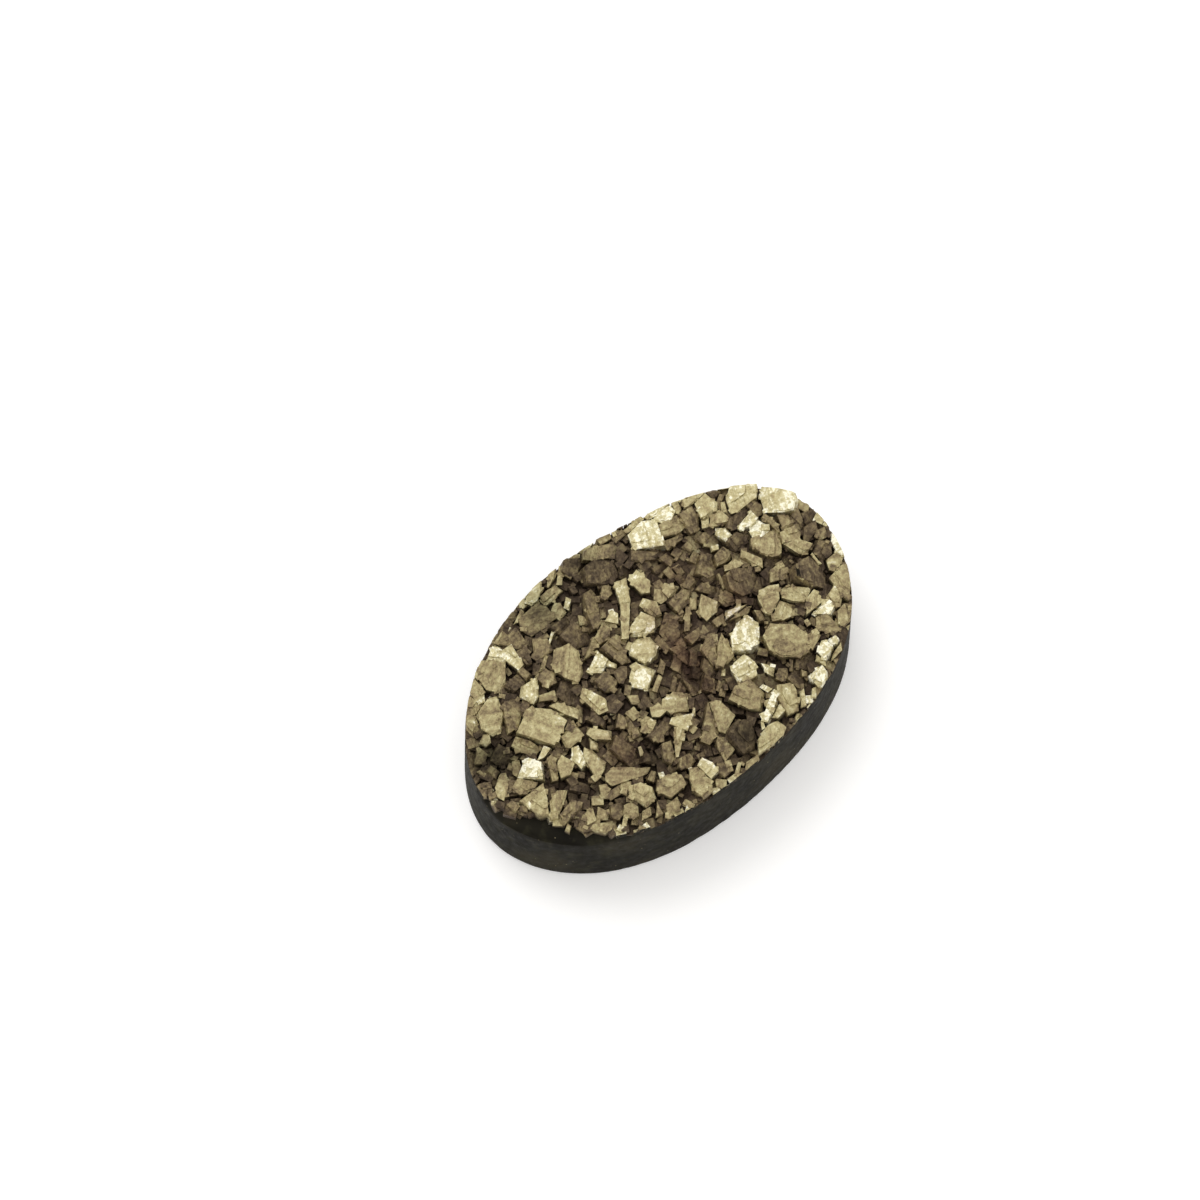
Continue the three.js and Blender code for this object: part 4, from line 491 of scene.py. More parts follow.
    [0.5, 5.7, -6.5, 5.88, -6.25, 6.05, -6.45, 5.9, -6.65],
    [0.38, 4.4, -5.6, 4.9, -5.25, 5.3, -5.5, 5.0, -5.9, 4.55, -5.9],
    [0.42, 5.4, -5.7, 5.8, -5.25, 5.9, -5.4, 5.55, -5.85],
    [0.6, 5.15, -7.85, 5.5, -7.55, 5.7, -7.6, 5.4, -7.95],
    [0.35, 6.05, -2.3, 6.3, -1.65, 6.55, -1.9, 6.45, -2.5],
]


# Shapes shared with the CAD part


def number_stream(seed):
    """A repeatable stream of numbers from 0 to 1, the same one as in the CAD part."""
    full = 0xFFFFFFFF
    state = seed
    while True:
        state = (state + 0x6D2B79F5) & full
        mixed = state
        mixed = ((mixed ^ (mixed >> 15)) * (mixed | 1)) & full
        mixed ^= (mixed + (((mixed ^ (mixed >> 7)) * (mixed | 61)) & full)) & full
        yield ((mixed ^ (mixed >> 14)) & full) / (full + 1)


def oval_point(turn, inset):
    share = 1.0
    for waves, cosine, sine in OUTLINE_WAVES:
        share += cosine * math.cos(waves * turn) + sine * math.sin(waves * turn)
    x = (HALF_LENGTH - inset) * share * math.cos(turn)
    y = (HALF_WIDTH - inset) * share * math.sin(turn)
    return Vector((x, y))


def oval_middle():
    points = [oval_point(2 * math.pi * step / OUTLINE_STEPS, 0.0) for step in range(OUTLINE_STEPS)]
    xs = [p.x for p in points]
    ys = [p.y for p in points]
    return Vector(((min(xs) + max(xs)) / 2, (min(ys) + max(ys)) / 2))


OVAL_MIDDLE = oval_middle()


def shoulder_width(turn):
    """How far the crystals stop short of the wall."""
    away = min(1.0, abs(math.degrees(turn) - SHOULDER_TURN) / SHOULDER_HALF_TURN)
    return SHOULDER_WIDTH * 0.5 * (1 + math.cos(math.pi * away))


def shoulder_inset(turn):
    return BED_HEIGHT * WALL_LEAN - CRUST_OVERRUN + shoulder_width(turn)


def depth_inside(x, y):
    return (1 - math.hypot(x / HALF_LENGTH, y / HALF_WIDTH)) * HALF_WIDTH


def height_at(x, y):
    edge = min(1.0, max(0.0, depth_inside(x, y) / EDGE_BAND))
    height = PLATEAU_HEIGHT - EDGE_DROP * (1 - edge)
    for hx, hy, radius, depth in HOLLOWS:
        away = math.hypot(x - hx, y - hy) / radius
        height -= depth * math.exp(-away * away)
    return height


def lean_for(shine, numbers):
    share = DULL_SHARE + (BRIGHT_SHARE - DULL_SHARE) * shine
    turn = (next(numbers) * 2 - 1) * DULL_TURN * (1 - shine)
    lean = Vector(GLINT_LEAN) * share
    lean.rotate(Matrix.Rotation(turn, 2))
    lean.x += (next(numbers) * 2 - 1) * LEAN_JITTER
    lean.y += (next(numbers) * 2 - 1) * LEAN_JITTER
    return lean


def corners_of(row):
    return [Vector((row[i], row[i + 1])) for i in range(1, len(row), 2)]


def middle_of(corners):
    return sum(corners, Vector((0.0, 0.0))) / len(corners)


def area_of(corners):
    total = 0.0
    for start, end in zip(corners, corners[1:] + corners[:1]):
        total += start.x * end.y - start.y * end.x
    return abs(total) / 2


def distance_to_face(x, y, corners):
    """Distance from a point to a face's outline, negative inside it."""
    nearest = math.inf
    inside = False
    for start, end in zip(corners, corners[1:] + corners[:1]):
        dx = end.x - start.x
        dy = end.y - start.y
        share = ((x - start.x) * dx + (y - start.y) * dy) / (dx * dx + dy * dy)
        share = min(1.0, max(0.0, share))
        nearest = min(nearest, math.hypot(start.x + share * dx - x, start.y + share * dy - y))
        if (start.y > y) != (end.y > y) and x < start.x + ((y - start.y) / dy) * dx:
            inside = not inside
    return -nearest if inside else nearest


class Crystal:
    """A crystal: its top outline, the height of its middle, its lean and how it looks."""

    def __init__(self, corners, height, lean, shine):
        self.corners = corners
        self.middle = middle_of(corners)
        self.height = height
        self.lean = lean
        self.shine = shine
        self.area = area_of(corners)

    def top(self, corner):
        """The point of the top face above a point of the plan."""
        fall = self.lean.dot(corner - self.middle)
        return Vector((corner.x, corner.y, self.height - fall))

    def normal(self):
        return Vector((self.lean.x, self.lean.y, 1.0)).normalized()

    def grow(self, margin):
        """Move each corner away from the middle."""
        self.corners = [c + (c - self.middle).normalized() * margin for c in self.corners]


def cad_crystals():
    """The crystals of the CAD part, listed ones first."""
    numbers = number_stream(SEED)
    crystals = []
    for row in FACES:
        corners = corners_of(row)
        middle = middle_of(corners)
        shine = row[0]
        lift = LIFT_BY_WIDTH * math.sqrt(area_of(corners)) - LIFT_DROP
        lift += LIFT_BY_SHINE * (shine - 0.5)
        lift += (next(numbers) * 2 - 1) * LIFT_JITTER
        height = height_at(middle.x, middle.y) + lift
        crystals.append(Crystal(corners, height, lean_for(shine, numbers), shine))
    faces = [crystal.corners for crystal in crystals]
    placed = []
    for attempt in range(FILLER_TRIES):
        if len(placed) == FILLER_MAX:
            break
        x = (next(numbers) * 2 - 1) * HALF_LENGTH
        y = (next(numbers) * 2 - 1) * HALF_WIDTH
        length = FILLER_SIZE[0] + (FILLER_SIZE[1] - FILLER_SIZE[0]) * next(numbers)
        width = length * (0.5 + 0.5 * next(numbers))
        yaw = next(numbers) * math.pi
        lift = (next(numbers) * 2 - 1) * FILLER_LIFT
        shine = next(numbers) * FILLER_SHINE
        lean = lean_for(shine, numbers)
        if depth_inside(x, y) < WALL_CLEARANCE + shoulder_inset(math.atan2(y, x) % (2 * math.pi)):
            continue
        if any(distance_to_face(x, y, face) < FILLER_CLEARANCE for face in faces):
            continue
        if any(math.hypot(x - px, y - py) < FILLER_SIZE[0] for px, py in placed):
            continue
        placed.append((x, y))
        corners = []
        for u, v in ((-1, -1), (1, -1), (1, 1), (-1, 1)):
            corner = Vector((u * length / 2, v * width / 2))
            corner.rotate(Matrix.Rotation(yaw, 2))
            corners.append(corner + Vector((x, y)))
        crystals.append(Crystal(corners, FILLER_HEIGHT + lift, lean, shine))
    return crystals


# Detail of the shown model

dice = random.Random(DETAIL_SEED)


def spread(low_high):
    return dice.uniform(*low_high)


def hull(points):
    """A closed convex body round the points, which are shaken a little so that no four are level."""
    for _ in range(HULL_TRIES):
        body = bmesh.new()
        for point in points:
            body.verts.new(point + Vector([spread((-HULL_SHAKE, HULL_SHAKE)) for _ in range(3)]))
        bmesh.ops.convex_hull(body, input=body.verts[:])
        spare = [v for v in body.verts if not v.link_faces]
        bmesh.ops.delete(body, geom=spare, context="VERTS")
        if body.faces and all(e.is_manifold for e in body.edges):
            bmesh.ops.recalc_face_normals(body, faces=body.faces[:])
            return body
        body.free()
    raise RuntimeError("no closed hull for these points")


def halved(a, b, c, cuts, places):
    """The triangles that a triangle falls into when some of its edges are cut in two."""
    ab, bc, ca = (cuts.get((min(p, q), max(p, q))) for p, q in ((a, b), (b, c), (c, a)))
    cut = sum(middle is not None for middle in (ab, bc, ca))
    if cut == 0:
        return [(a, b, c)]
    if cut == 3:
        return [(a, ab, ca), (ab, b, bc), (ca, bc, c), (ab, bc, ca)]
    while ab is None or (cut == 2 and bc is None):
        a, b, c = b, c, a
        ab, bc, ca = bc, ca, ab
    if cut == 1:
        return [(a, ab, c), (ab, b, c)]
    if (places[a] - places[bc]).length < (places[ab] - places[c]).length:
        return [(ab, b, bc), (a, ab, bc), (a, bc, c)]
    return [(ab, b, bc), (a, ab, c), (ab, bc, c)]


def refine(body, cell):
    """The body again, its edges above the bed cut until none is longer than the cell."""
    body.verts.index_update()
    places = [v.co.copy() for v in body.verts]
    triangles = [tuple(v.index for v in f.verts) for f in body.faces]
    body.free()
    for _ in range(REFINE_ROUNDS):
        cuts = {}
        for a, b, c in triangles:
            for p, q in ((a, b), (b, c), (c, a)):
                key = (min(p, q), max(p, q))
                if key in cuts or max(places[p].z, places[q].z) < REFINE_ABOVE:
                    continue
                if (places[p] - places[q]).length > cell:
                    cuts[key] = len(places)
                    places.append((places[p] + places[q]) / 2)
        if not cuts:
            break
        triangles = [piece for a, b, c in triangles for piece in halved(a, b, c, cuts, places)]
    fine = bmesh.new()
    verts = [fine.verts.new(place) for place in places]
    for a, b, c in triangles:
        fine.faces.new((verts[a], verts[b], verts[c]))
    return fine


def roughen(body, depth, chip):
    """Make faces uneven and chip the edges, always inwards."""
    body.normal_update()
    shift = Vector((spread(NOISE_SPAN), spread(NOISE_SPAN), spread(NOISE_SPAN)))
    moves = []
    for vert in body.verts:
        place = vert.co + shift
        edge_chip = noise.noise(place * CHIP_WAVE + CHIP_SHIFT) + CHIP_BIAS
        dip = 0.5 - 0.5 * noise.noise(place * DIP_WAVE)
        dip -= FINE_DIP_SHARE * noise.noise(place * FINE_DIP_WAVE)
        move = depth * max(0.0, dip)
        if any(e.calc_face_angle(0.0) > CHIP_EDGE_ANGLE for e in vert.link_edges):
            move += chip * max(0.0, edge_chip)
        moves.append(move)
    for vert, move in zip(body.verts, moves):
        vert.co -= vert.normal * move


def crystal_points(crystal):
    """Corner points of the crystal's body, some of its upper corners broken off."""
    normal = crystal.normal()
    root = BED_HEIGHT - ROOT_DEPTH
    points = []
    count = len(crystal.corners)
    widest = FACET_WIDEST * math.sqrt(crystal.area)
    facets = {
        index: (min(spread(FACET_WIDTH), widest), spread(FACET_SLOPE))
        for index in range(count)
        if dice.random() < FACET_SHARE
    }
    for index, corner in enumerate(crystal.corners):
        upper = crystal.top(corner)
        lower = upper - normal * CRYSTAL_DEPTH
        facet = facets.get(index) or facets.get((index - 1) % count)
        if facet:
            width, slope = facet
            inner = corner + (crystal.middle - corner).normalized() * width * FACET_RUN
            points += [crystal.top(inner), upper - normal * width * slope, lower]
            points += [Vector((upper.x, upper.y, root)), Vector((lower.x, lower.y, root))]
            continue
        points += [lower, Vector((upper.x, upper.y, root)), Vector((lower.x, lower.y, root))]
        before = crystal.top(crystal.corners[index - 1]) - upper
        after = crystal.top(crystal.corners[(index + 1) % count]) - upper
        size = spread(CHIPPED_CORNER)
        room = min(before.length, after.length) > CHIPPED_CORNER_ROOM * size
        if dice.random() < CHIPPED_CORNER_SHARE and room:
            points.append(upper + before.normalized() * size)
            points.append(upper + after.normalized() * size * spread(CHIPPED_CORNER_SKEW))
            points.append(upper - normal * size)
        else:
            points.append(upper)
    return points


def step_points(crystal):
    """A thin growth step on the crystal's top face, drawn in towards one corner."""
    keep = dice.choice(crystal.corners)
    share = spread(STEP_SIZE)
    normal = crystal.normal()
    rise = spread(STEP_RISE)
    points = []
    for corner in crystal.corners:
        place = crystal.top(keep.lerp(corner, share).lerp(crystal.middle, STEP_INSET))
        points += [place + normal * rise, place - normal * STEP_ROOT]
    return points


def knobs(crystal):
    """Points of the small blocks along a large crystal's edges, which make its outline irregular."""
    made = []
    if crystal.area < KNOB_AREA:
        return made
    for start, end in zip(crystal.corners, crystal.corners[1:] + crystal.corners[:1]):
        length = (end - start).length
        count = int(length * KNOB_PER_LENGTH + dice.random())
        for _ in range(count):
            place = start.lerp(end, dice.random())
            size = min(spread(KNOB_SIZE), KNOB_WIDEST * math.sqrt(crystal.area))
            place = place.lerp(crystal.middle, KNOB_INSET * size / (place - crystal.middle).length)
            top = crystal.top(place).z + spread(KNOB_RISE)
            made.append(grain_points(place.x, place.y, top, size, KNOB_TILT))
    return made


def grain_points(x, y, top, size, tilt):
    """A small tilted block, with its roots."""
    yaw = Matrix.Rotation(spread((0, math.tau)), 3, "Z")
    turn = yaw @ Matrix.Rotation(spread((-tilt, tilt)), 3, "X")
    points = []
    tallest = 0.0
    half = Vector((size / 2, size * spread(GRAIN_WIDTH), size * spread(GRAIN_THICKNESS)))
    for u in (-1, 1):
        for v in (-1, 1):
            for w in (-1, 1):
                point = turn @ Vector((u * half.x, v * half.y, w * half.z))
                tallest = max(tallest, point.z)
                points.append(point)
    centre = Vector((x, y, top - tallest))
    points = [point + centre for point in points]
    keep = 1 - GRAIN_TAPER
    root = BED_HEIGHT - GRAIN_ROOT_DEPTH
    roots = [(p.x * keep + x * GRAIN_TAPER, p.y * keep + y * GRAIN_TAPER, root) for p in points]
    return points + [Vector(place) for place in roots]


def grains(crystals):
    """The small crystals that fill the gaps: place, height of top, size, tilt and shine."""
    faces = [crystal.corners for crystal in crystals]
    boxes = []
    for face in faces:
        xs = [p.x for p in face]
        ys = [p.y for p in face]
        boxes.append((min(xs), max(xs), min(ys), max(ys)))
    made = []
    placed = []
    pad = GRAIN_CLEARANCE
    for count, sizes, spacing, drops, tilt, brightest in GRAINS:
        goal = len(made) + count
        for _ in range(GRAIN_TRIES):
            if len(made) == goal:
                break
            x = spread((-HALF_LENGTH, HALF_LENGTH))
            y = spread((-HALF_WIDTH, HALF_WIDTH))
            size = spread(sizes)
            top = height_at(x, y) - spread(drops)
            shine = dice.random() ** GRAIN_SHINE_POWER * brightest
            if depth_inside(x, y) < shoulder_width(math.atan2(y, x) % math.tau) + GRAIN_RIM:
                continue
            close = [
                face
                for face, (left, right, low, high) in zip(faces, boxes)
                if left - pad < x < right + pad and low - pad < y < high + pad
            ]
            if any(distance_to_face(x, y, face) < pad for face in close):
                continue
            if any(math.hypot(x - px, y - py) < spacing for px, py in placed):
                continue
            placed.append((x, y))
            made.append((x, y, top, size, tilt, shine))
    for _ in range(RIM_GRAINS):
        turn = spread((0, math.tau))
        inset = BED_HEIGHT * WALL_LEAN + shoulder_width(turn) + spread(RIM_BAND)
        x, y = oval_point(turn, inset) - OVAL_MIDDLE
        top = height_at(x, y) - spread(RIM_DROP)
        size = spread(RIM_SIZE)
        shine = dice.random() ** RIM_SHINE_POWER
        if all(distance_to_face(x, y, face) > pad for face in faces):
            made.append((x, y, top, size, RIM_TILT, shine))
    return made


def unevenness(place):
    """Smooth noise from 0 to 1."""
    return 0.5 + 0.5 * noise.noise(place)


def new_object(name, body, crystal_id=None, home=None):
    """An object from a bmesh in millimetres, its faces marked with the crystal's number."""
    if crystal_id is not None:
        layer = body.faces.layers.int.new("crystal")
        for face in body.faces:
            face[layer] = crystal_id
    mesh = bpy.data.meshes.new(name)
    body.to_mesh(mesh)
    body.free()
    made = bpy.data.objects.new(name, mesh)
    (home or bpy.context.scene.collection).objects.link(made)
    return made


def fine_point(turn, height, inset):
    """A point of the ground wall, a little uneven, never outside the CAD wall."""
    flat = oval_point(turn, height * WALL_LEAN + SKIN + inset) - OVAL_MIDDLE
    place = Vector((flat.x, flat.y, height))
    hollow = WALL_HOLLOW * unevenness(place * WALL_HOLLOW_WAVE)
    fine = WALL_FINE * unevenness(place * WALL_FINE_WAVE)
    flat -= flat.normalized() * (hollow + fine)
    return Vector((flat.x, flat.y, height))


def bridge_rings(body, rings):
    """Faces between rings of vertices that run the same way."""
    for lower, upper in zip(rings, rings[1:]):
        count = len(lower)
        for i in range(count):
            j = (i + 1) % count
            body.faces.new((lower[i], lower[j], upper[j], upper[i]))


def turns():
    return [math.tau * step / FINE_STEPS for step in range(FINE_STEPS)]


# Numbers that mark the faces of the ground edge and the floor, in place of a crystal's number
WALL_ID = -2
FLOOR_ID = -1


def wall_cutter(top):
    """The ground wall carried up past the crystals, to cut them flush."""
    body = bmesh.new()
    heights = np.linspace(BED_HEIGHT, top, CUTTER_RINGS)
    rings = [[body.verts.new(fine_point(turn, h, 0.0)) for turn in turns()] for h in heights]
    bridge_rings(body, rings)
    body.faces.new(rings[-1])
    body.faces.new(rings[0][::-1])
    bmesh.ops.triangulate(body, faces=[f for f in body.faces if len(f.verts) > 4])
    return new_object("wall_cutter", body, WALL_ID)


def crust_floor():
    """The thin pyrite between the crystals, a little uneven on top."""
    body = bmesh.new()
    rings = []
    levels = [(BED_HEIGHT - ROOT_DEPTH, 1.0)]
    for step in range(FLOOR_RINGS):
        levels.append((BED_HEIGHT + CRUST_FLOOR, 1 - FLOOR_REACH * step / FLOOR_RINGS))
    for height, share in levels:
        ring = []
        for turn in turns()[::2]:
            ragged = FLOOR_RAGGED * unevenness(Vector((turn * FLOOR_RAGGED_WAVE, 0.0, 0.0)))
            ragged *= min(1.0, shoulder_width(turn))
            flat = (oval_point(turn, shoulder_inset(turn) + ragged) - OVAL_MIDDLE) * share
            place = Vector((flat.x, flat.y, height))
            if height > BED_HEIGHT:
                place.z -= FLOOR_DROP * unevenness(place * FLOOR_WAVE)
            ring.append(body.verts.new(place))
        rings.append(ring)
    bridge_rings(body, rings)
    body.faces.new(rings[-1])
    body.faces.new(rings[0][::-1])
    bmesh.ops.triangulate(body, faces=body.faces[:])
    return new_object("crust_floor", body, FLOOR_ID)


def united(base, home, cutter):
    """One closed mesh: the base and every body in the collection, cut by the cutter."""
    union = base.modifiers.new("union", "BOOLEAN")
    union.operation = "UNION"
    union.solver = "MANIFOLD"
    union.operand_type = "COLLECTION"
    union.collection = home
    cut = base.modifiers.new("cut", "BOOLEAN")
    cut.operation = "INTERSECT"
    cut.solver = "MANIFOLD"
    cut.object = cutter
    bpy.context.view_layer.update()
    graph = bpy.context.evaluated_depsgraph_get()
    return bpy.data.meshes.new_from_object(base.evaluated_get(graph), depsgraph=graph)


def keep_outer_skin(mesh):
    """Delete sealed pockets and crumbs: every shell but the one with most faces."""
    body = bmesh.new()
    body.from_mesh(mesh)
    seen = set()
    shells = []
    for start in body.faces:
        if start in seen:
            continue
        seen.add(start)
        shell = [start]
        for face in shell:
            for edge in face.edges:
                for other in edge.link_faces:
                    if other not in seen:
                        seen.add(other)
                        shell.append(other)
        shells.append(shell)
    shells.sort(key=len)
    bmesh.ops.delete(body, geom=[f for shell in shells[:-1] for f in shell], context="FACES")
    body.to_mesh(mesh)
    body.free()


def remove(objects):
    for made in objects:
        mesh = made.data
        bpy.data.objects.remove(made)
        bpy.data.meshes.remove(mesh)


def crust_object():
    crystals = cad_crystals()
    home = bpy.data.collections.new("crystal_bodies")
    bpy.context.scene.collection.children.link(home)
    looks = []

    def add(points, shine, cell, depth, chip, grain_turn):
        body = hull(points)
        body = refine(body, cell)
        roughen(body, depth, chip)
        new_object(f"crystal_{len(looks)}", body, len(looks), home)
        looks.append((shine, grain_turn))

    for crystal in crystals:
        crystal.grow(GROW)
        edge = crystal.corners[1] - crystal.corners[0]
        along = math.atan2(edge.y, edge.x) + (math.pi / 2 if dice.random() < 0.5 else 0.0)
        add(crystal_points(crystal), crystal.shine, CELL, ROUGH, CHIP, along)
        if crystal.area > STEP_AREA and dice.random() < STEP_SHARE:
            rough, chip, shines = STEP_LOOK
            shine = min(1.0, crystal.shine + spread(shines))
            add(step_points(crystal), shine, CELL, ROUGH * rough, CHIP * chip, along)
        rough, chip, shines = KNOB_LOOK
        for points in knobs(crystal):
            shine = min(1.0, max(0.0, crystal.shine + spread(shines)))
            add(points, shine, GRAIN_CELL, ROUGH * rough, CHIP * chip, spread((0, math.pi)))
    for x, y, top, size, tilt, shine in grains(crystals):
        points = grain_points(x, y, top, size, tilt)
        along = spread((0, math.pi))
        add(points, shine, GRAIN_CELL, ROUGH * GRAIN_ROUGH, CHIP * GRAIN_CHIP, along)

    floor = crust_floor()
    cutter = wall_cutter(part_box("pyrite_crystals")[1].z / MM - CUTTER_TOP_GAP)
    mesh = united(floor, home, cutter)
    remove([*home.objects, floor, cutter])
    bpy.data.collections.remove(home)
    keep_outer_skin(mesh)
    return mesh, looks


def values_of(layer, name, count, kind, width=1):
    flat = np.zeros(count * width, dtype=kind)
    layer.foreach_get(name, flat)
    return flat.reshape(-1, width) if width > 1 else flat


def stain_at(place, spots):
    """How strong the stain of some spots is at each place, from 0 to 1."""
    total = np.zeros(len(place))
    for x, y, radius, share in spots:
        away = np.hypot(place[:, 0] - x, place[:, 1] - y) / radius
        total += share * np.exp(-away * away)
    return np.minimum(total, 1.0)


def add_looks(mesh, looks):
    """Attributes for the material: what each crystal, face or point looks like."""
    faces = len(mesh.polygons)
    number = values_of(mesh.attributes["crystal"].data, "value", faces, np.int32)
    # The two values at the end are those of WALL_ID and FLOOR_ID
    shines = np.array([shine for shine, _ in looks] + [BARE_SHINE, BARE_SHINE])
    turn = np.array([turn for _, turn in looks] + [0.0, 0.0])
    own = np.random.default_rng(OWN_SEED).random(len(looks) + 2)
    face_loops = values_of(mesh.polygons, "loop_total", faces, np.int32)
    loop_face = np.repeat(np.arange(faces), face_loops)
    loop_vert = values_of(mesh.loops, "vertex_index", len(mesh.loops), np.int32)
    place = values_of(mesh.vertices, "co", len(mesh.vertices), np.float32, 3)
    loop_turn = turn[number[loop_face]]
    across = np.cos(loop_turn) * place[loop_vert, 0] + np.sin(loop_turn) * place[loop_vert, 1]
    # Depth of each point below the usual height, used to paint shade into the crevices
    crevice_shade_depth = [height_at(x, y) - z for x, y, z in place.tolist()]
    stains = {name: stain_at(place, spots) for name, spots in (("purple", PURPLE), ("dark", DARK))}
    made = {
        "shine": ("FLOAT", "FACE", shines[number]),
        "own": ("FLOAT", "FACE", own[number]),
        "ground": ("FLOAT", "FACE", (number == WALL_ID).astype(float)),
        "across": ("FLOAT", "CORNER", across),
        "crevice_shade_depth": ("FLOAT", "POINT", np.array(crevice_shade_depth)),
        "purple": ("FLOAT", "POINT", stains["purple"]),
        "dark": ("FLOAT", "POINT", stains["dark"]),
    }
    for name, (kind, domain, values) in made.items():
        attribute = mesh.attributes.new(name, kind, domain)
        attribute.data.foreach_set("value", values.astype(np.float32))
    mesh.attributes.remove(mesh.attributes["crystal"])


def to_metres(mesh):
    mesh.transform(Matrix.Scale(MM, 4))
    mesh.update()


def matrix_object():
    """The slab: flat back, bevelled lower edge, ground wall and a rounded shoulder."""
    body = bmesh.new()
    rings = []

    def ring(height, inset, lower_edge=False):
        points = []
        for turn in turns():
            point = fine_point(turn, height, inset)
            if lower_edge:
                nick = NICK_DEPTH * max(0.0, noise.noise(point * NICK_WAVE) - NICK_FROM)
                point.x *= 1 - nick
                point.y *= 1 - nick
            points.append(body.verts.new(point))
        rings.append(points)

    def bed_ring(inset):
        """A ring on the bed, sunk where the crystals leave the shoulder bare."""
        points = []
        for turn in turns():
            bare = shoulder_width(turn)
            reach = SHOULDER_REACH[0] * bare + SHOULDER_REACH[1]
            rounding = SHOULDER_FALL * bare * max(0.0, 1 - inset / reach) ** 2
            point = fine_point(turn, BED_HEIGHT, inset)
            rough = SHOULDER_ROUGH * unevenness(point * SHOULDER_WAVE) * min(1.0, bare * 2)
            point.z = BED_HEIGHT - min(SHOULDER_LOWEST, rounding) - rough
            points.append(body.verts.new(point))
        rings.append(points)

    for height, inset in BEVEL_RINGS:
        ring(height, inset, True)
    for height in np.linspace(*WALL_RINGS):
        ring(float(height), 0.0)
    for inset in BED_RINGS:
        bed_ring(inset)
    bridge_rings(body, rings)
    body.faces.new(rings[-1])
    body.faces.new(rings[0][::-1])
    bmesh.ops.triangulate(body, faces=[f for f in body.faces if len(f.verts) > 4])
    bmesh.ops.recalc_face_normals(body, faces=body.faces[:])
    return new_object("ground_matrix", body)


# Materials

MM_PER_METRE = 1000.0
SPECULAR_LEVEL = 0.04  # the grey sheen of stone and pyrite under a white sky

# Noise is given as waves in a millimetre, detail and, where it matters, roughness
STONE_BROAD_NOISE = (0.32, 3.0)
STONE_PATCH_NOISE = (1.5, 4.0)
STONE_RARE_NOISE = (0.9, 2.0)
STONE_ROUGH_NOISE = (2.2, 4.0)
STONE_FINE_BUMP = (9.0, 4.0, 0.6)
STONE_BROAD_BUMP = (1.2, 3.0)
STONE_STOPS = [
    (0.32, (0.009, 0.008, 0.006)),
    (0.5, (0.015, 0.0135, 0.009)),
    (0.68, (0.026, 0.022, 0.013)),
]
STONE_PATCH = (0.032, 0.030, 0.017, 1)
STONE_PATCH_RANGE = (0.52, 0.66)
STONE_PATCH_SHARE = 0.45
STONE_SPECK = (0.20, 0.17, 0.10, 1)
STONE_SPECK_SCALE = 2.6
STONE_SPECK_RANGE = (0.06, 0.13)
STONE_RARE_RANGE = (0.5, 0.62)
STONE_ROUGH_RANGE = (0.3, 0.7)
STONE_ROUGHNESS = (0.5, 0.7)
STONE_BUMP_SHARES = (0.35, 0.65)  # of the fine and the broad unevenness
STONE_BUMP = (0.5, 0.00006)  # strength and depth in metres

BLOTCH_NOISE = (1.6, 5.0, 0.65)
FINE_NOISE = (5.0, 4.0, 0.65)
STREAK_NOISE = (2.6, 4.0, 0.65)
PATCHY_NOISE = (0.9, 3.0)
CHIP_NOISE = (3.2, 4.0, 0.65)
STRIAE_NOISE = (6.0, 3.0, 0.6)
LUMP_NOISE = (3.0, 5.0, 0.62)
PIT_SCALE = 3.5
PIT_RANGE = (0.0, 0.3)
PATCHY_RANGE = (0.3, 0.6)
CHIP_RANGE = (0.55, 0.60)
STREAK_DRIFT = 0.5  # how much the streaks wander
STREAK_APART = 40.0  # each crystal takes its streaks from another place
# Each crystal's shine is painted into its colour: bright faces are painted pale, up to a near-white
# painted highlight, and dull faces dark, as painted shade. This comes on top of the lean that really
# turns them to the light; blotches, streaks and own tone are the pyrite's own colour
GLINT_AND_TONE_SHARES = (0.85, 1.1, 0.9, 0.9, 0.12)  # of shine, blotches, fine noise, streaks and own tone
GLINT_AND_TONE_LEVEL = 1.41
PYRITE_SHADE_TO_GLINT_STOPS = [
    (0.0, (0.072, 0.054, 0.038)),
    (0.25, (0.165, 0.125, 0.078)),
    (0.5, (0.33, 0.265, 0.145)),
    (0.72, (0.49, 0.43, 0.235)),
    (0.9, (0.63, 0.575, 0.355)),
    (1.0, (0.88, 0.85, 0.69)),
]
# Painted shade in the crevices: points that lie below the usual height of the crust are painted near
# black
CREVICE_SHADE_COLOUR = (0.060, 0.042, 0.032, 1)
CREVICE_SHADE_RANGE = (0.1, 0.5)  # millimetres below the usual height
CREVICE_SHADE_SHARE = 0.85
PURPLE_TINT = (0.62, 0.52, 0.56)
DARK_TINT = (0.24, 0.28, 0.26)
STONE_LEFT_OUT = 0.55  # how bare of stone the chips on the ground edge are
METALLIC = 0.95
ROUGHNESS_BASE = 0.30
ROUGHNESS_SHARES = (0.35, 0.25, -0.14, 0.12)  # of blotches, fine noise, shine and stone
BUMP_SHARES = (0.55, 0.9, 0.25)  # of striae, lumps and pits
PYRITE_BUMP = (0.8, 0.0002)


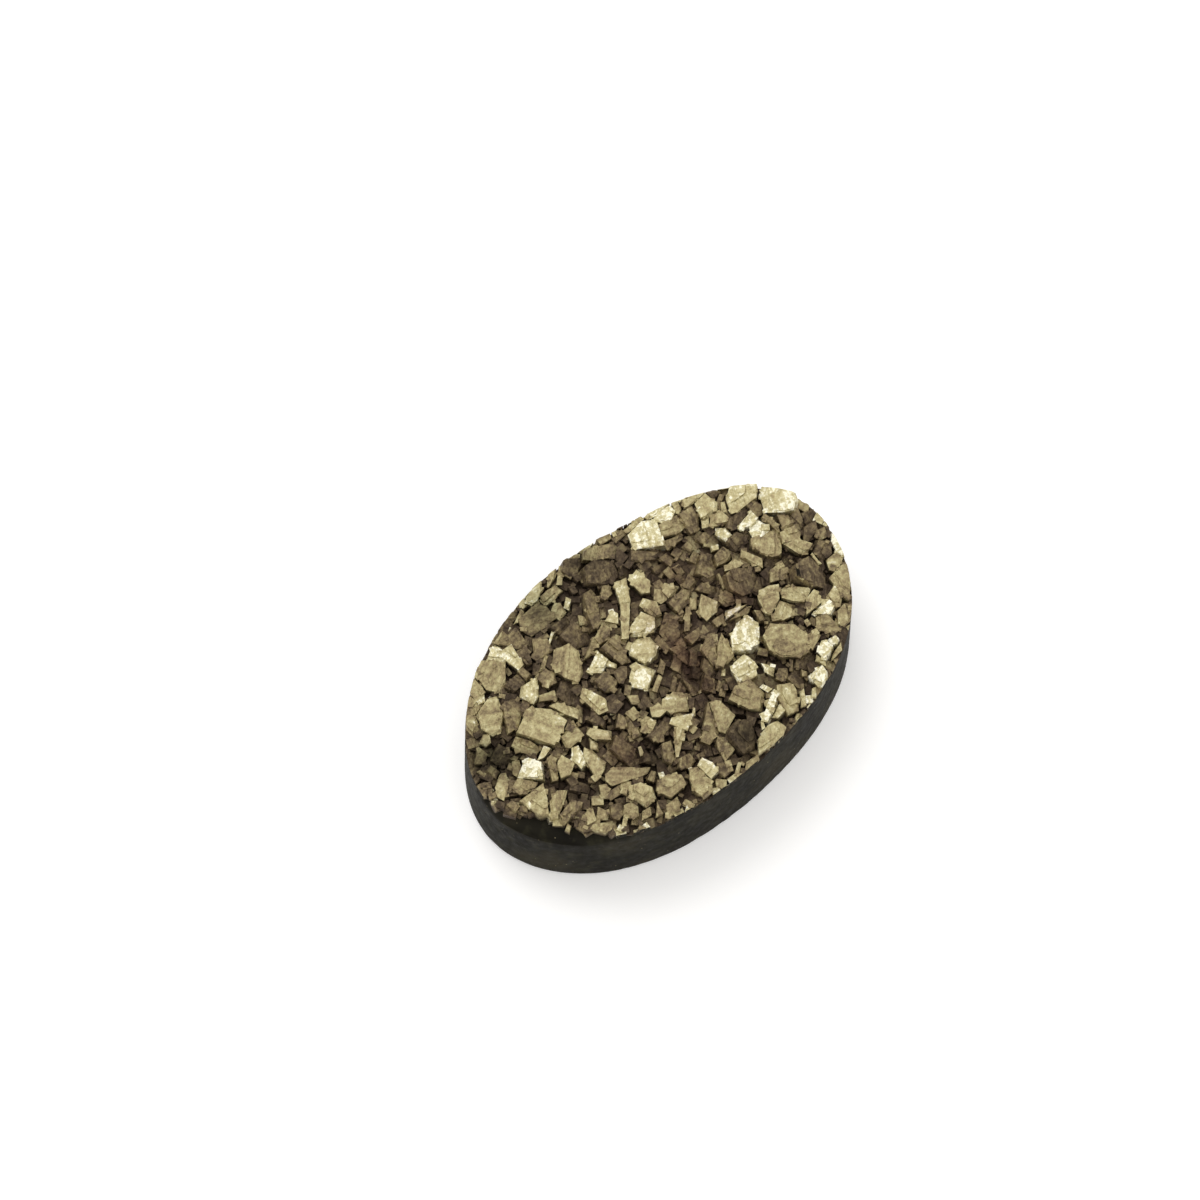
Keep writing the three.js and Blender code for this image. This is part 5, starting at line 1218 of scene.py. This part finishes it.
class Nodes:
    """Short calls for building a material's nodes."""

    def __init__(self, name):
        self.material = bpy.data.materials.new(name)
        self.material.use_nodes = True
        self.tree = self.material.node_tree
        self.shader = self.tree.nodes["Principled BSDF"]

    def add(self, kind, inputs=None, **settings):
        node = self.tree.nodes.new(kind)
        for key, value in settings.items():
            setattr(node, key, value)
        for key, value in (inputs or {}).items():
            if isinstance(value, bpy.types.NodeSocket):
                self.tree.links.new(value, node.inputs[key])
            else:
                node.inputs[key].default_value = value
        return node

    def place(self):
        """The place on the object in millimetres."""
        coords = self.add("ShaderNodeTexCoord").outputs["Object"]
        return self.tint(coords, (MM_PER_METRE, MM_PER_METRE, MM_PER_METRE))

    def noise(self, scale, detail, roughness=0.5, vector=None):
        inputs = {"Scale": scale, "Detail": detail, "Roughness": roughness}
        inputs["Vector"] = vector or self.place()
        return self.add("ShaderNodeTexNoise", inputs).outputs["Fac"]

    def cells(self, scale):
        """Distance to the nearest of many scattered points."""
        inputs = {"Vector": self.place(), "Scale": scale}
        return self.add("ShaderNodeTexVoronoi", inputs).outputs["Distance"]

    def attribute(self, name):
        return self.add("ShaderNodeAttribute", attribute_name=name).outputs["Fac"]

    def math(self, operation, a, b, clamp=False):
        node = self.add("ShaderNodeMath", {0: a, 1: b}, operation=operation, use_clamp=clamp)
        return node.outputs[0]

    def weighted(self, values, shares):
        """The sum of some values, each times its share."""
        parts = [self.math("MULTIPLY", value, share) for value, share in zip(values, shares)]
        total = parts[0]
        for part in parts[1:]:
            total = self.math("ADD", total, part)
        return total

    def remap(self, value, low, high, to_low=0.0, to_high=1.0):
        inputs = {"Value": value, "From Min": low, "From Max": high}
        inputs.update({"To Min": to_low, "To Max": to_high})
        return self.add("ShaderNodeMapRange", inputs, clamp=True).outputs[0]

    def mix(self, factor, a, b):
        node = self.add("ShaderNodeMix", data_type="RGBA")
        for key, value in (("Factor_Float", factor), ("A_Color", a), ("B_Color", b)):
            socket = next(s for s in node.inputs if s.identifier == key)
            if isinstance(value, bpy.types.NodeSocket):
                self.tree.links.new(value, socket)
            else:
                socket.default_value = value
        return next(s for s in node.outputs if s.identifier == "Result_Color")

    def tint(self, colour, shares):
        """A colour, or any three numbers, each times its own share."""
        node = self.add("ShaderNodeVectorMath", {0: colour, 1: shares}, operation="MULTIPLY")
        return node.outputs[0]

    def ramp(self, value, stops):
        node = self.add("ShaderNodeValToRGB", {0: value})
        ramp = node.color_ramp
        while len(ramp.elements) < len(stops):
            ramp.elements.new(1.0)
        for element, (position, colour) in zip(ramp.elements, stops):
            element.position = position
            element.color = (*colour, 1.0)
        return node.outputs["Color"]

    def bump(self, height, strength, distance):
        inputs = {"Height": height, "Strength": strength, "Distance": distance}
        return self.add("ShaderNodeBump", inputs).outputs["Normal"]

    def link(self, value, name):
        self.tree.links.new(value, self.shader.inputs[name])


def stone_colour(nodes):
    """Colour of the dark ground stone."""
    colour = nodes.ramp(nodes.noise(*STONE_BROAD_NOISE), STONE_STOPS)
    patches = nodes.remap(nodes.noise(*STONE_PATCH_NOISE), *STONE_PATCH_RANGE)
    colour = nodes.mix(nodes.math("MULTIPLY", patches, STONE_PATCH_SHARE), colour, STONE_PATCH)
    specks = nodes.remap(nodes.cells(STONE_SPECK_SCALE), *STONE_SPECK_RANGE, 1.0, 0.0)
    rare = nodes.remap(nodes.noise(*STONE_RARE_NOISE), *STONE_RARE_RANGE)
    return nodes.mix(nodes.math("MULTIPLY", specks, rare), colour, STONE_SPECK)


def stone_material():
    nodes = Nodes("dark_matrix_stone")
    nodes.link(stone_colour(nodes), "Base Color")
    rough = nodes.remap(nodes.noise(*STONE_ROUGH_NOISE), *STONE_ROUGH_RANGE, *STONE_ROUGHNESS)
    nodes.link(rough, "Roughness")
    uneven = (nodes.noise(*STONE_FINE_BUMP), nodes.noise(*STONE_BROAD_BUMP))
    nodes.link(nodes.bump(nodes.weighted(uneven, STONE_BUMP_SHARES), *STONE_BUMP), "Normal")
    nodes.shader.inputs["Specular IOR Level"].default_value = SPECULAR_LEVEL
    return nodes.material


def pyrite_material():
    nodes = Nodes("pyrite")
    shine = nodes.attribute("shine")
    own = nodes.attribute("own")
    blotch = nodes.noise(*BLOTCH_NOISE)
    fine = nodes.noise(*FINE_NOISE)

    # Streaks run along each crystal in its own direction
    drift = nodes.weighted((nodes.attribute("across"), blotch), (1.0, STREAK_DRIFT))
    apart = nodes.math("MULTIPLY", own, STREAK_APART)
    line = nodes.add("ShaderNodeCombineXYZ", {0: drift, 1: apart}).outputs[0]
    streaks = nodes.noise(*STREAK_NOISE, line)

    # Painted highlight and painted shade: the shine lightens or darkens each crystal's colour, mixed
    # with the pyrite's own blotches and streaks
    glint_and_tone = nodes.weighted((shine, blotch, fine, streaks, own), GLINT_AND_TONE_SHARES)
    metal = nodes.ramp(nodes.math("SUBTRACT", glint_and_tone, GLINT_AND_TONE_LEVEL, clamp=True), PYRITE_SHADE_TO_GLINT_STOPS)
    # Painted shade: the deeper a point lies in a crevice, the darker it is painted
    deep = nodes.remap(nodes.attribute("crevice_shade_depth"), *CREVICE_SHADE_RANGE)
    metal = nodes.mix(nodes.math("MULTIPLY", deep, CREVICE_SHADE_SHARE), metal, CREVICE_SHADE_COLOUR)

    patchy = nodes.remap(nodes.noise(*PATCHY_NOISE), *PATCHY_RANGE)
    purple = nodes.math("MULTIPLY", nodes.attribute("purple"), patchy)
    metal = nodes.mix(purple, metal, nodes.tint(metal, PURPLE_TINT))
    metal = nodes.mix(nodes.attribute("dark"), metal, nodes.tint(metal, DARK_TINT))

    # Where the wall cuts the crust, most of the face is ground stone
    chips = nodes.remap(nodes.noise(*CHIP_NOISE), *CHIP_RANGE)
    bare = nodes.math("MULTIPLY", chips, STONE_LEFT_OUT)
    stone = nodes.math("SUBTRACT", nodes.attribute("ground"), bare, clamp=True)
    nodes.link(nodes.mix(stone, metal, stone_colour(nodes)), "Base Color")
    nodes.link(nodes.remap(stone, 0.0, 1.0, METALLIC, 0.0), "Metallic")

    rough = nodes.weighted((blotch, fine, shine, stone), ROUGHNESS_SHARES)
    nodes.link(nodes.math("ADD", rough, ROUGHNESS_BASE), "Roughness")

    pits = nodes.remap(nodes.cells(PIT_SCALE), *PIT_RANGE)
    uneven = (nodes.noise(*STRIAE_NOISE, line), nodes.noise(*LUMP_NOISE), pits)
    nodes.link(nodes.bump(nodes.weighted(uneven, BUMP_SHARES), *PYRITE_BUMP), "Normal")
    nodes.shader.inputs["Specular IOR Level"].default_value = SPECULAR_LEVEL
    return nodes.material


def dress(made, material, node):
    made.data.materials.clear()
    made.data.materials.append(material)
    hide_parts(node)
    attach(made, "root")


crust_mesh, crystal_looks = crust_object()
add_looks(crust_mesh, crystal_looks)
to_metres(crust_mesh)
crust = bpy.data.objects.new("pyrite_crust", crust_mesh)
bpy.context.scene.collection.objects.link(crust)
crust_mesh.shade_flat()
dress(crust, pyrite_material(), "pyrite_crystals")

slab = matrix_object()
to_metres(slab.data)
slab.data.shade_smooth()
slab.data.set_sharp_from_angle(angle=SHARP_ANGLE)
dress(slab, stone_material(), "matrix")

# Floor, light and camera

FLOOR_SIZE_M = 3.0
FLOOR_COLOUR = (0.9, 0.9, 0.9, 1)
FLOOR_ROUGHNESS = 0.9
FLOOR_GLOW = 0.2  # makes the floor plain white
KEY_DIRECTION = Vector((0.06, 0.6, 0.8)).normalized()
KEY_DISTANCE_M = 0.6
KEY_SIZE_M = 0.45
KEY_POWER = 1.2
SKY = 0.95
SKY_COLOUR = (1.0, 0.985, 0.96, 1)

CAMERA_AZIMUTH = math.radians(-42.0)
CAMERA_ELEVATION = math.radians(68.5)
CAMERA_DISTANCE = 220.0
CAMERA_LENS = 105.6
CAMERA_SENSOR = 36.0
CAMERA_CLIP_M = 0.01
STONE_RIGHT = 3.6  # where the stone's middle is in the picture, from the point aimed at
STONE_UP = -6.38


def make_floor():
    body = bmesh.new()
    half = FLOOR_SIZE_M / 2
    corners = ((-half, -half, 0.0), (half, -half, 0.0), (half, half, 0.0), (-half, half, 0.0))
    body.faces.new([body.verts.new(corner) for corner in corners])
    mesh = bpy.data.meshes.new("floor")
    body.to_mesh(mesh)
    body.free()
    floor = bpy.data.objects.new("floor", mesh)
    bpy.context.scene.collection.objects.link(floor)
    nodes = Nodes("white_floor")
    nodes.shader.inputs["Base Color"].default_value = FLOOR_COLOUR
    nodes.shader.inputs["Roughness"].default_value = FLOOR_ROUGHNESS
    nodes.shader.inputs["Emission Color"].default_value = (1, 1, 1, 1)
    nodes.shader.inputs["Emission Strength"].default_value = FLOOR_GLOW
    mesh.materials.append(nodes.material)


def make_light():
    light = bpy.data.lights.new("key", "AREA")
    light.shape = "DISK"
    light.size = KEY_SIZE_M
    light.energy = KEY_POWER
    key = bpy.data.objects.new("key", light)
    key.location = KEY_DIRECTION * KEY_DISTANCE_M
    key.rotation_mode = "QUATERNION"
    key.rotation_quaternion = KEY_DIRECTION.to_track_quat("Z", "Y")
    bpy.context.scene.collection.objects.link(key)
    world = bpy.data.worlds.new("studio")
    world.use_nodes = True
    background = world.node_tree.nodes["Background"]
    background.inputs["Color"].default_value = SKY_COLOUR
    background.inputs["Strength"].default_value = SKY
    bpy.context.scene.world = world


def make_camera():
    data = bpy.data.cameras.new("camera")
    data.lens = CAMERA_LENS
    data.sensor_width = CAMERA_SENSOR
    data.clip_start = CAMERA_CLIP_M
    camera = bpy.data.objects.new("camera", data)
    bpy.context.scene.collection.objects.link(camera)
    right = Vector((math.cos(CAMERA_AZIMUTH), math.sin(CAMERA_AZIMUTH), 0.0))
    away = Vector((-math.sin(CAMERA_AZIMUTH), math.cos(CAMERA_AZIMUTH), 0.0))
    back = -away * math.cos(CAMERA_ELEVATION) + Vector((0.0, 0.0, math.sin(CAMERA_ELEVATION)))
    aim = (-right * STONE_RIGHT - away * STONE_UP) * MM
    camera.location = aim + back * CAMERA_DISTANCE * MM
    camera.rotation_mode = "QUATERNION"
    camera.rotation_quaternion = back.to_track_quat("Z", "Y")
    bpy.context.scene.camera = camera


make_floor()
make_light()
make_camera()
bpy.context.scene.view_settings.view_transform = "Standard"
